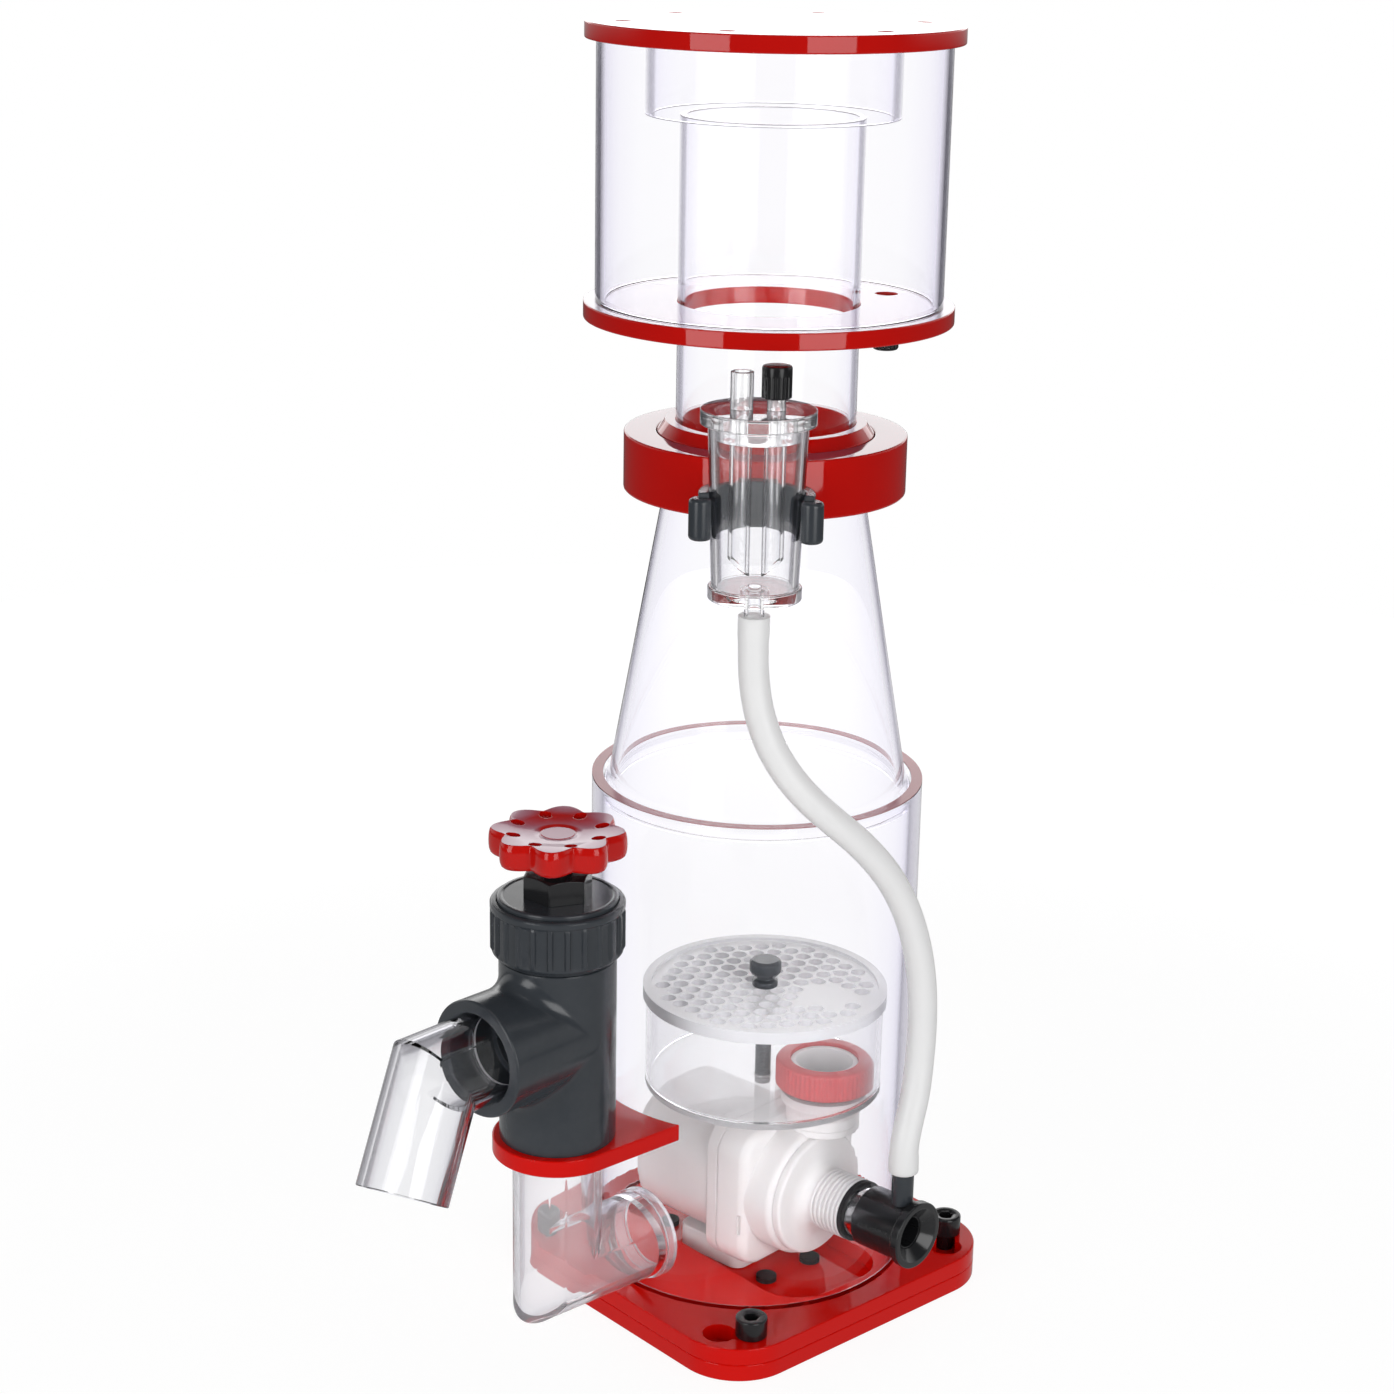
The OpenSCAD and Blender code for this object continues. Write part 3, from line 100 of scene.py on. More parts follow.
def newGroup(name, inputs, outputs):
    group = bpy.data.node_groups.new(name, "ShaderNodeTree")
    for label, kind, value in inputs:
        socket = group.interface.new_socket(label, in_out="INPUT", socket_type=kind)
        socket.default_value = value
    for label, kind in outputs:
        group.interface.new_socket(label, in_out="OUTPUT", socket_type=kind)
    return group, addNode(group, "NodeGroupInput"), addNode(group, "NodeGroupOutput")


def useGroup(tree, group, values):
    return addNode(tree, "ShaderNodeGroup", values, node_tree=group)


def calc(tree, operation, first, second=0.5, clamp=False):
    node = addNode(tree, "ShaderNodeMath", {0: first, 1: second}, operation=operation, use_clamp=clamp)
    return node.outputs["Value"]


def mixColours(tree, share, first, second):
    mix = addNode(tree, "ShaderNodeMix", {0: share, 6: first, 7: second}, data_type="RGBA")
    return mix.outputs[2]


# tone: two colours that change over in soft clouds, the second one also along the edges, as wear and as a
# painted edge glow
toneGroup, toneIn, toneOut = newGroup(
    "tone",
    [
        ("Colour", "NodeSocketColor", (0.5, 0.5, 0.5, 1)),
        ("Second", "NodeSocketColor", (0.6, 0.6, 0.6, 1)),
        ("Scale", "NodeSocketFloat", 30),
        ("Amount", "NodeSocketFloat", 0.5),
        ("Edge", "NodeSocketFloat", 0.0004),
        ("Edge Amount", "NodeSocketFloat", 0.3),
    ],
    [("Colour", "NodeSocketColor"), ("Edge", "NodeSocketFloat")],
)
toneCoord = addNode(toneGroup, "ShaderNodeTexCoord")
toneNoise = addNode(
    toneGroup,
    "ShaderNodeTexNoise",
    {"Vector": toneCoord.outputs["Object"], "Scale": toneIn.outputs["Scale"], "Detail": 4, "Roughness": 0.6},
)
toneCloud = addNode(
    toneGroup,
    "ShaderNodeMapRange",
    {
        "Value": toneNoise.outputs["Fac"],
        "From Min": 0.35,
        "From Max": 0.65,
        "To Min": 0,
        "To Max": toneIn.outputs["Amount"],
    },
)
toneBevel = addNode(toneGroup, "ShaderNodeBevel", {"Radius": toneIn.outputs["Edge"]}, samples=4)
toneGeometry = addNode(toneGroup, "ShaderNodeNewGeometry")
toneDot = addNode(
    toneGroup,
    "ShaderNodeVectorMath",
    {0: toneBevel.outputs["Normal"], 1: toneGeometry.outputs["Normal"]},
    operation="DOT_PRODUCT",
)
toneWearAndGlow = addNode(
    toneGroup,
    "ShaderNodeMapRange",
    {
        "Value": toneDot.outputs["Value"],
        "From Min": 1,
        "From Max": 0.8,
        "To Min": 0,
        "To Max": toneIn.outputs["Edge Amount"],
    },
)
toneSum = calc(toneGroup, "ADD", toneCloud.outputs["Result"], toneWearAndGlow.outputs["Result"], clamp=True)
toneMix = mixColours(toneGroup, toneSum, toneIn.outputs["Colour"], toneIn.outputs["Second"])
toneGroup.links.new(toneMix, toneOut.inputs["Colour"])
toneGroup.links.new(toneWearAndGlow.outputs["Result"], toneOut.inputs["Edge"])

# polish: roughness that wanders between two values, with fine rubbed streaks
polishGroup, polishIn, polishOut = newGroup(
    "polish",
    [
        ("Scale", "NodeSocketFloat", 60),
        ("Low", "NodeSocketFloat", 0.05),
        ("High", "NodeSocketFloat", 0.15),
    ],
    [("Roughness", "NodeSocketFloat")],
)
polishCoord = addNode(polishGroup, "ShaderNodeTexCoord")
polishSmear = addNode(
    polishGroup,
    "ShaderNodeTexNoise",
    {
        "Vector": polishCoord.outputs["Object"],
        "Scale": polishIn.outputs["Scale"],
        "Detail": 6,
        "Distortion": 0.6,
    },
)
polishRange = addNode(
    polishGroup,
    "ShaderNodeMapRange",
    {
        "Value": polishSmear.outputs["Fac"],
        "From Min": 0.3,
        "From Max": 0.7,
        "To Min": polishIn.outputs["Low"],
        "To Max": polishIn.outputs["High"],
    },
)
polishGroup.links.new(polishRange.outputs["Result"], polishOut.inputs["Roughness"])

# grain: the fine texture of a mould, over a normal that rounds the edges
grainGroup, grainIn, grainOut = newGroup(
    "grain",
    [
        ("Scale", "NodeSocketFloat", 2500),
        ("Depth", "NodeSocketFloat", 0.1),
        ("Edge", "NodeSocketFloat", 0.0005),
    ],
    [("Normal", "NodeSocketVector")],
)
grainCoord = addNode(grainGroup, "ShaderNodeTexCoord")
grainNoise = addNode(
    grainGroup,
    "ShaderNodeTexNoise",
    {"Vector": grainCoord.outputs["Object"], "Scale": grainIn.outputs["Scale"], "Detail": 3},
)
grainBevel = addNode(grainGroup, "ShaderNodeBevel", {"Radius": grainIn.outputs["Edge"]}, samples=4)
grainBump = addNode(
    grainGroup,
    "ShaderNodeBump",
    {
        "Height": grainNoise.outputs["Fac"],
        "Strength": grainIn.outputs["Depth"],
        "Distance": 0.0002,
        "Normal": grainBevel.outputs["Normal"],
    },
)
grainGroup.links.new(grainBump.outputs["Normal"], grainOut.inputs["Normal"])

# level: a mask that is one on level faces and none on upright ones
levelGroup, levelIn, levelOut = newGroup(
    "level",
    [("From", "NodeSocketFloat", 0.7), ("To", "NodeSocketFloat", 0.97)],
    [("Level", "NodeSocketFloat")],
)
levelGeometry = addNode(levelGroup, "ShaderNodeNewGeometry")
levelSplit = addNode(levelGroup, "ShaderNodeSeparateXYZ", {"Vector": levelGeometry.outputs["True Normal"]})
levelRange = addNode(
    levelGroup,
    "ShaderNodeMapRange",
    {
        "Value": calc(levelGroup, "ABSOLUTE", levelSplit.outputs["Z"]),
        "From Min": levelIn.outputs["From"],
        "From Max": levelIn.outputs["To"],
    },
)
levelGroup.links.new(levelRange.outputs["Result"], levelOut.inputs["Level"])

# outward: above none where a face looks away from the Z axis, below it where it looks inward
outwardGroup, outwardIn, outwardOut = newGroup(
    "outward", [("Across", "NodeSocketVector", (1, 1, 0))], [("Along", "NodeSocketFloat")],
)
outwardGeometry = addNode(outwardGroup, "ShaderNodeNewGeometry")
outwardReach = addNode(
    outwardGroup,
    "ShaderNodeVectorMath",
    {0: outwardGeometry.outputs["Position"], 1: outwardIn.outputs["Across"]},
    operation="MULTIPLY",
)
outwardDot = addNode(
    outwardGroup,
    "ShaderNodeVectorMath",
    {0: outwardReach.outputs["Vector"], 1: outwardGeometry.outputs["True Normal"]},
    operation="DOT_PRODUCT",
)
outwardGroup.links.new(outwardDot.outputs["Value"], outwardOut.inputs["Along"])

# milled: one colour and smooth on level faces, another and frosted on every upright cut
milledGroup, milledIn, milledOut = newGroup(
    "milled",
    [
        ("Wall", "NodeSocketColor", (0.8, 0.8, 0.8, 1)),
        ("Face", "NodeSocketColor", (0.9, 0.9, 0.9, 1)),
        ("Wall Rough", "NodeSocketFloat", 0.5),
        ("Face Rough", "NodeSocketFloat", 0.1),
    ],
    [("Colour", "NodeSocketColor"), ("Roughness", "NodeSocketFloat")],
)
milledGeometry = addNode(milledGroup, "ShaderNodeNewGeometry")
milledSplit = addNode(milledGroup, "ShaderNodeSeparateXYZ", {"Vector": milledGeometry.outputs["True Normal"]})
milledFlat = calc(milledGroup, "ABSOLUTE", milledSplit.outputs["Z"])
milledRange = addNode(
    milledGroup,
    "ShaderNodeMapRange",
    {"Value": milledFlat, "To Min": milledIn.outputs["Wall Rough"], "To Max": milledIn.outputs["Face Rough"]},
)
milledMix = mixColours(milledGroup, milledFlat, milledIn.outputs["Wall"], milledIn.outputs["Face"])
milledGroup.links.new(milledMix, milledOut.inputs["Colour"])
milledGroup.links.new(milledRange.outputs["Result"], milledOut.inputs["Roughness"])


def newMaterial(name):
    material = bpy.data.materials.new(name)
    material.use_nodes = True
    tree = material.node_tree
    return material, tree, tree.nodes["Principled BSDF"]


def polishFor(tree, look):
    low, high = look["rough"]
    polish = useGroup(tree, polishGroup, {"Scale": look["smear"], "Low": low, "High": high})
    return polish.outputs["Roughness"]


def solidFinish(name, look):
    material, tree, shader = newMaterial(name)
    tone = useGroup(
        tree,
        toneGroup,
        {
            "Colour": (*look["colour"], 1),
            "Second": (*look["second"], 1),
            "Scale": look["cloud"],
            "Amount": look["amount"],
            "Edge": look["edge"],
            "Edge Amount": look["wearAndGlow"],
        },
    )
    grain = useGroup(tree, grainGroup, {"Scale": look["grain"], "Depth": look["depth"], "Edge": look["edge"]})
    colour = tone.outputs["Colour"]
    # glare: base colour paled on level faces seen at grazing angles, a painted reflection
    if "glare" in look:
        facing = addNode(tree, "ShaderNodeLayerWeight", {"Blend": 0.5})
        glareFrom, glareTo = look["glareAt"]
        edgeOn = addNode(
            tree, "ShaderNodeMapRange",
            {"Value": facing.outputs["Facing"], "From Min": glareFrom, "From Max": glareTo},
            interpolation_type="SMOOTHSTEP",
        )
        level = useGroup(tree, levelGroup, {})
        glare = calc(tree, "MULTIPLY", edgeOn.outputs["Result"], level.outputs["Level"])
        colour = mixColours(tree, glare, colour, (*look["glare"], 1))
    tree.links.new(colour, shader.inputs["Base Color"])
    tree.links.new(polishFor(tree, look), shader.inputs["Roughness"])
    tree.links.new(grain.outputs["Normal"], shader.inputs["Normal"])
    shader.inputs["Specular IOR Level"].default_value = look["shine"]
    shader.inputs["IOR"].default_value = look.get("ior", 1.49)
    shader.inputs["Metallic"].default_value = look.get("metal", 0)
    if "glow" in look:
        shader.inputs["Subsurface Weight"].default_value = look["glow"]
        shader.inputs["Subsurface Radius"].default_value = look["glowReach"]
        shader.inputs["Subsurface Scale"].default_value = look["glowScale"]
    return material


# the glare colours in these looks are painted reflections on level faces
redLook = {
    "colour": (0.55, 0.0035, 0.0018), "second": (0.63, 0.007, 0.003), "cloud": 25, "amount": 0.25,
    "edge": 0.0006, "wearAndGlow": 0.6, "smear": 40, "rough": (0.01, 0.05), "grain": 900, "depth": 0.006,
    "shine": 0.4, "glare": (0.24, 0.19, 0.28), "glareAt": (0.7, 0.86),
}
baseLook = {**redLook, "colour": (0.7, 0.003, 0.001), "second": (0.74, 0.006, 0.002), "shine": 0.22}
nutLook = {
    **redLook, "colour": (0.56, 0.05, 0.055), "second": (0.62, 0.08, 0.085), "rough": (0.2, 0.32),
    "grain": 2000, "depth": 0.05, "glare": (0.56, 0.14, 0.17),
}
darkLook = {
    "colour": (0.034, 0.04, 0.048), "second": (0.05, 0.056, 0.064), "cloud": 60, "amount": 0.4,
    "edge": 0.0008, "wearAndGlow": 0.5, "smear": 90, "rough": (0.14, 0.24), "grain": 2200, "depth": 0.03,
    "shine": 0.5,
}
wheelLook = {
    "colour": (0.56, 0.004, 0.002), "second": (0.64, 0.008, 0.003), "cloud": 60, "amount": 0.3,
    "edge": 0.0005, "wearAndGlow": 0.4, "smear": 90, "rough": (0.06, 0.12), "grain": 1600, "depth": 0.01,
    "shine": 0.4, "glare": (0.5, 0.26, 0.36), "glareAt": (0.5, 0.68),
}
glossLook = {
    "colour": (0.014, 0.0145, 0.016), "second": (0.022, 0.023, 0.025), "cloud": 80, "amount": 0.4,
    "edge": 0.0005, "wearAndGlow": 0.5, "smear": 100, "rough": (0.12, 0.24), "grain": 1800, "depth": 0.02,
    "shine": 0.5,
}
capLook = {
    "colour": (0.01, 0.01, 0.011), "second": (0.022, 0.022, 0.024), "cloud": 120, "amount": 0.4,
    "edge": 0.0004, "wearAndGlow": 0.5, "smear": 130, "rough": (0.1, 0.2), "grain": 2200, "depth": 0.06,
    "shine": 0.32,
}
screwLook = {
    "colour": (0.008, 0.008, 0.009), "second": (0.02, 0.02, 0.022), "cloud": 150, "amount": 0.4,
    "edge": 0.0005, "wearAndGlow": 0.6, "smear": 140, "rough": (0.14, 0.26), "grain": 2400, "depth": 0.05,
    "shine": 0.55,
}
nylonLook = {
    "colour": (0.012, 0.012, 0.013), "second": (0.03, 0.03, 0.032), "cloud": 90, "amount": 0.4,
    "edge": 0.0005, "wearAndGlow": 0.6, "smear": 120, "rough": (0.25, 0.4), "grain": 2600, "depth": 0.08,
    "shine": 0.45,
}
rubberLook = {
    "colour": (0.014, 0.014, 0.015), "second": (0.03, 0.03, 0.031), "cloud": 120, "amount": 0.5,
    "edge": 0.0005, "wearAndGlow": 0.4, "smear": 150, "rough": (0.6, 0.8), "grain": 1800, "depth": 0.2, "shine": 0.3,
}
whiteLook = {
    "colour": (0.84, 0.825, 0.82), "second": (0.79, 0.775, 0.77), "cloud": 45, "amount": 0.5,
    "edge": 0.0008, "wearAndGlow": 0.2, "smear": 70, "rough": (0.3, 0.45), "grain": 2000, "depth": 0.08,
    "shine": 0.35, "glow": 0.1, "glowReach": (1, 0.9, 0.8), "glowScale": 0.002,
}
siliconeLook = {
    "colour": (0.955, 0.955, 0.955), "second": (0.93, 0.93, 0.935), "cloud": 55, "amount": 0.5,
    "edge": 0.0004, "wearAndGlow": 0.1, "smear": 80, "rough": (0.28, 0.42), "grain": 1500, "depth": 0.05,
    "shine": 0.4, "glow": 0.5, "glowReach": (1, 1, 1), "glowScale": 0.004,
}
statorLook = {
    "colour": (0.12, 0.045, 0.018), "second": (0.2, 0.09, 0.03), "cloud": 150, "amount": 0.8,
    "edge": 0.0004, "wearAndGlow": 0.4, "smear": 100, "rough": (0.4, 0.6), "grain": 900, "depth": 0.3, "shine": 0.5,
    "metal": 0.4,
}
magnetLook = {
    "colour": (0.05, 0.05, 0.055), "second": (0.09, 0.09, 0.095), "cloud": 200, "amount": 0.6,
    "edge": 0.0004, "wearAndGlow": 0.5, "smear": 120, "rough": (0.4, 0.55), "grain": 2400, "depth": 0.2,
    "shine": 0.5,
}
steelLook = {
    "colour": (0.55, 0.55, 0.56), "second": (0.68, 0.68, 0.68), "cloud": 200, "amount": 0.5,
    "edge": 0.0003, "wearAndGlow": 0.4, "smear": 300, "rough": (0.18, 0.3), "grain": 2000, "depth": 0.05,
    "shine": 0.5, "metal": 1,
}

# clear looks: stops over the facing angle, from square on to edge on, of a colour that darkens to a painted
# shade towards edge on, and a cap colour on level faces that paints the shade and reflections seen on cut rims
tubeLook = {
    "stops": [
        (0, (1, 1, 1)), (0.32, (0.985, 0.985, 1)), (0.5, (0.92, 0.905, 0.985)), (0.585, (0.85, 0.83, 0.95)),
        (0.67, (0.74, 0.71, 0.89)), (0.72, (0.3, 0.28, 0.36)), (0.77, (0.025, 0.023, 0.034)),
        (0.84, (0.05, 0.048, 0.065)), (0.9, (0.3, 0.29, 0.34)), (0.95, (0.6, 0.59, 0.65)),
    ],
    "bore": (0.99, 0.985, 1), "cap": (0.5, 0.48, 0.56), "ior": 1.2, "smear": 30, "rough": (0.0, 0.008),
}
neckLook = {
    "stops": [
        (0, (1, 1, 1)), (0.32, (0.985, 0.985, 1)), (0.48, (0.93, 0.92, 0.985)), (0.56, (0.88, 0.86, 0.96)),
        (0.6, (0.8, 0.78, 0.92)), (0.65, (0.3, 0.285, 0.36)), (0.74, (0.18, 0.17, 0.22)),
        (0.86, (0.5, 0.49, 0.56)),
    ],
    "bore": (0.99, 0.985, 1), "cap": (0.3, 0.28, 0.34), "ior": 1.2, "smear": 30, "rough": (0.0, 0.008),
}
bodyLook = {
    "stops": [
        (0, (1, 1, 1)), (0.32, (0.985, 0.98, 1)), (0.5, (0.9, 0.89, 0.97)), (0.58, (0.8, 0.785, 0.91)),
        (0.62, (0.62, 0.6, 0.74)), (0.66, (0.2, 0.19, 0.25)), (0.72, (0.36, 0.34, 0.42)),
        (0.86, (0.6, 0.58, 0.66)),
    ],
    # the body tube's cap colour is a painted reflection of red on its rim
    "bore": (0.985, 0.98, 1), "cap": (0.5, 0.24, 0.26), "ior": 1.22, "smear": 30, "rough": (0.0, 0.008),
}
coneLook = {
    "stops": [
        (0, (1, 1, 1)), (0.2, (0.985, 0.985, 1)), (0.45, (0.92, 0.91, 0.97)), (0.66, (0.86, 0.85, 0.93)),
        (0.74, (0.5, 0.48, 0.57)), (0.8, (0.2, 0.19, 0.25)), (0.88, (0.5, 0.48, 0.56)),
    ],
    "bore": (0.985, 0.98, 1), "cap": (0.86, 0.85, 0.9), "ior": 1.2, "smear": 30, "rough": (0.0, 0.008),
}
pipeLook = {
    "stops": [
        (0, (0.95, 0.95, 0.96)), (0.3, (0.88, 0.88, 0.9)), (0.46, (0.66, 0.65, 0.69)),
        (0.54, (0.22, 0.215, 0.24)), (0.75, (0.06, 0.058, 0.07)), (1, (0.14, 0.135, 0.16)),
    ],
    "ior": 1.4, "smear": 40, "rough": (0.0, 0.02),
}
bendLook = {
    "stops": [
        (0, (0.97, 0.96, 0.97)), (0.3, (0.92, 0.91, 0.93)), (0.46, (0.82, 0.81, 0.84)),
        (0.56, (0.62, 0.61, 0.65)), (0.75, (0.55, 0.54, 0.57)), (1, (0.7, 0.69, 0.72)),
    ],
    "ior": 1.24, "smear": 40, "rough": (0.02, 0.06), "clear": 0.9,
}
jarLook = {
    "stops": [
        (0, (0.97, 0.97, 0.975)), (0.3, (0.93, 0.93, 0.94)), (0.5, (0.78, 0.77, 0.8)),
        (0.56, (0.14, 0.135, 0.15)), (0.75, (0.05, 0.048, 0.06)), (1, (0.25, 0.24, 0.28)),
    ],
    "cap": (0.85, 0.85, 0.87), "ior": 1.45, "smear": 40, "rough": (0.0, 0.015),
}
drumLook = {
    "stops": [
        (0, (0.98, 0.98, 0.985)), (0.4, (0.95, 0.95, 0.96)), (0.66, (0.9, 0.9, 0.92)),
        (0.74, (0.7, 0.69, 0.72)), (1, (0.8, 0.79, 0.82)),
    ],
    "cap": (0.95, 0.95, 0.95), "ior": 1.2, "smear": 40, "rough": (0.01, 0.04), "clear": 0.965,
}
lidLook = {**jarLook, "clear": 0.87, "cap": (0.3, 0.3, 0.32), "ior": 1.7}


def colourRamp(tree, share, stops):
    node = addNode(tree, "ShaderNodeValToRGB", {"Fac": share})
    ramp = node.color_ramp
    while len(ramp.elements) < len(stops):
        ramp.elements.new(0.5)
    for element, (place, colour) in zip(ramp.elements, stops):
        element.position = place
        element.color = (*colour, 1)
    return node.outputs["Color"]


def clearFinish(name, look):
    material, tree, shader = newMaterial(name)
    facing = addNode(tree, "ShaderNodeLayerWeight", {"Blend": 0.5})
    # the ramp paints shade onto the wall towards edge on
    shadedTint = colourRamp(tree, facing.outputs["Facing"], look["stops"])
    if "bore" in look:
        # the bore of a tube round the Z axis keeps one light colour without the painted edge shade, whichever
        # side of the wall is met
        outward = useGroup(tree, outwardGroup, {})
        geometry = addNode(tree, "ShaderNodeNewGeometry")
        side = calc(tree, "SUBTRACT", 0.5, geometry.outputs["Backfacing"])
        away = calc(tree, "MULTIPLY", outward.outputs["Along"], side)
        shadedTint = mixColours(tree, calc(tree, "GREATER_THAN", away, 0), (*look["bore"], 1), shadedTint)
    # level faces take the cap colour, a painted shade and reflection for cut rims
    if "cap" in look:
        level = useGroup(tree, levelGroup, {})
        shadedTint = mixColours(tree, level.outputs["Level"], shadedTint, (*look["cap"], 1))
    tree.links.new(shadedTint, shader.inputs["Base Color"])
    tree.links.new(polishFor(tree, look), shader.inputs["Roughness"])
    shader.inputs["IOR"].default_value = look["ior"]
    shader.inputs["Transmission Weight"].default_value = look.get("clear", 1)
    return material


# milled clear plate: smooth on its faces, frosted on every upright cut
frostLook = {
    "colour": (0.95, 0.95, 0.955), "wall": (0.8, 0.8, 0.82), "face": 0.12, "cut": 0.5, "clear": 0.28,
    "ior": 1.3, "scratch": 400, "scratchShare": (0.8, 1.2),
}
floorLook = {**frostLook, "face": 0.04, "clear": 0.8}
rimLook = {**frostLook, "colour": (0.92, 0.92, 0.94), "wall": (0.9, 0.9, 0.92), "clear": 0.0}
# dark colour for thin rings on the neck and skirt ends: a painted shade
rimShadeLook = {**frostLook, "colour": (0.3, 0.29, 0.34), "wall": (0.32, 0.31, 0.36), "clear": 0.2}
# pink colour for the thin ring on the body tube's top: a painted reflection of red
rimRedReflectionLook = {**frostLook, "colour": (0.58, 0.25, 0.27), "wall": (0.5, 0.2, 0.22), "clear": 0.2}


def frostFinish(name, look):
    material, tree, shader = newMaterial(name)
    milled = useGroup(
        tree,
        milledGroup,
        {
            "Wall": (*look["wall"], 1),
            "Face": (*look["colour"], 1),
            "Wall Rough": look["cut"],
            "Face Rough": look["face"],
        },
    )
    low, high = look["scratchShare"]
    scratches = useGroup(tree, polishGroup, {"Scale": look["scratch"], "Low": low, "High": high})
    worn = calc(tree, "MULTIPLY", milled.outputs["Roughness"], scratches.outputs["Roughness"])
    tree.links.new(worn, shader.inputs["Roughness"])
    tree.links.new(milled.outputs["Colour"], shader.inputs["Base Color"])
    shader.inputs["IOR"].default_value = look["ior"]
    shader.inputs["Transmission Weight"].default_value = look["clear"]
    return material


# finishes by the record's slots, then the variants that single pieces use
finishes = {
    "red_acrylic": solidFinish("redAcrylic", redLook),
    "clear_acrylic": clearFinish("clearTube", tubeLook),
    "dark_pvc": solidFinish("darkPvc", darkLook),
    "black_nylon": solidFinish("blackNylon", nylonLook),
    "black_rubber": solidFinish("blackRubber", rubberLook),
    "white_plastic": solidFinish("whitePlastic", whiteLook),
    "white_silicone": solidFinish("whiteSilicone", siliconeLook),
    "stator_iron": solidFinish("statorIron", statorLook),
    "magnet": solidFinish("magnetFerrite", magnetLook),
    "steel": solidFinish("shaftSteel", steelLook),
}
variants = {
    "clearNeck": ("clear_acrylic", clearFinish("clearNeck", neckLook)),
    "clearBody": ("clear_acrylic", clearFinish("clearBody", bodyLook)),
    "clearBend": ("clear_acrylic", clearFinish("clearBend", bendLook)),
    "clearCone": ("clear_acrylic", clearFinish("clearCone", coneLook)),
    "clearPipe": ("clear_acrylic", clearFinish("clearPipe", pipeLook)),
    "clearJar": ("clear_acrylic", clearFinish("clearJar", jarLook)),
    "clearDrum": ("clear_acrylic", clearFinish("clearDrum", drumLook)),
    "clearLid": ("clear_acrylic", clearFinish("clearLid", lidLook)),
    "baseRed": ("red_acrylic", solidFinish("baseRed", baseLook)),
    "nutRed": ("red_acrylic", solidFinish("nutRed", nutLook)),
    "frosted": ("clear_acrylic", frostFinish("frostedPlate", frostLook)),
    "drumBase": ("clear_acrylic", frostFinish("drumBase", floorLook)),
    "frostedRim": ("clear_acrylic", frostFinish("frostedRim", rimLook)),
    "paintedRimShade": ("clear_acrylic", frostFinish("paintedRimShade", rimShadeLook)),
    "paintedRimReflection": ("clear_acrylic", frostFinish("paintedRimReflection", rimRedReflectionLook)),
    "wheelRed": ("red_acrylic", solidFinish("wheelRed", wheelLook)),
    "venturiBlack": ("dark_pvc", solidFinish("venturiBlack", glossLook)),
    "screwBlack": ("black_nylon", solidFinish("screwBlack", screwLook)),
    "capBlack": ("black_rubber", solidFinish("capBlack", capLook)),
}
print("finishes made:", len(finishes) + len(variants))


# mesh helpers, all sizes in millimetres
def move(x, y, z):
    return Matrix.Translation((x, y, z))


def turn(degrees, axis="Z"):
    return Matrix.Rotation(math.radians(degrees), 4, axis)


# where the groups of pieces stand round the body's axis
placeSet = {
    "valve": -115.5, "branchHigh": 156.5, "branchTurn": -84, "pumpHigh": 52.5, "pumpTurn": 6,
    "outlet": (36, 11, 0), "drum": (8.5, 0.5, 0), "silencer": (62.442, -62.008, 0), "silencerTurn": -44.8,
    "drain": 58.4, "drainTurn": 74,
}
here = Matrix.Identity(4)
pumpTurn = turn(placeSet["pumpTurn"])
valveAt = move(0, placeSet["valve"], 0)
branchAt = move(0, placeSet["valve"], placeSet["branchHigh"]) @ turn(placeSet["branchTurn"]) @ turn(90, "Y")
pumpAt = pumpTurn @ move(0, 0, placeSet["pumpHigh"]) @ turn(90, "Y")
outletAt = pumpTurn @ move(*placeSet["outlet"])
drumAt = move(*placeSet["drum"])
silencerAt = move(*placeSet["silencer"]) @ turn(placeSet["silencerTurn"])
drainAt = turn(placeSet["drainTurn"]) @ move(placeSet["drain"], 0, 0)


# rounds the corners of a profile; a third number in a point is its own radius
def softened(loop, edge=0.5, steps=3, closed=True):
    out = []
    for i, point in enumerate(loop):
        corner = Vector(point[:2])
        size = point[2] if len(point) > 2 else edge
        ends = not closed and i in (0, len(loop) - 1)
        if size == 0 or ends:
            out.append(tuple(corner))
            continue
        before = Vector(loop[i - 1][:2]) - corner
        after = Vector(loop[(i + 1) % len(loop)][:2]) - corner
        angle = before.angle(after)
        if angle > 3.1:
            out.append(tuple(corner))
            continue
        reach = min(size / math.tan(angle / 2), 0.45 * before.length, 0.45 * after.length)
        start = corner + before.normalized() * reach
        end = corner + after.normalized() * reach
        for s in range(steps + 1):
            t = s / steps
            p = start * (1 - t) ** 2 + corner * 2 * t * (1 - t) + end * t ** 2
            out.append((p.x, p.y))
    return out


# turns a profile of (radius, height) round Z; both may be functions of the angle
def turned(loop, count=96, closed=True):
    points, faces, rows = [], [], []
    for radius, height in loop:
        if not callable(radius) and abs(radius) < 1e-6:
            rows.append([len(points)] * count)
            points.append((0, 0, height))
            continue
        rows.append(list(range(len(points), len(points) + count)))
        for k in range(count):
            angle = 2 * math.pi * k / count
            r = radius(angle) if callable(radius) else radius
            z = height(angle) if callable(height) else height
            points.append((r * math.cos(angle), r * math.sin(angle), z))
    for i in range(len(rows) if closed else len(rows) - 1):
        a, b = rows[i], rows[(i + 1) % len(rows)]
        for k in range(count):
            n = (k + 1) % count
            face = []
            for v in (a[k], a[n], b[n], b[k]):
                if v not in face:
                    face.append(v)
            if len(face) > 2:
                faces.append(face)
    return points, faces


# a softened profile that starts and ends on the axis, turned into a full form
def spun(loop, edge, count, steps=3):
    return turned(softened(loop, edge, steps, closed=False), count, closed=False)


def ringTube(outer, inner, low, high, edge=0.4, count=128):
    return turned(softened([(outer, low), (outer, high), (inner, high), (inner, low)], edge), count)


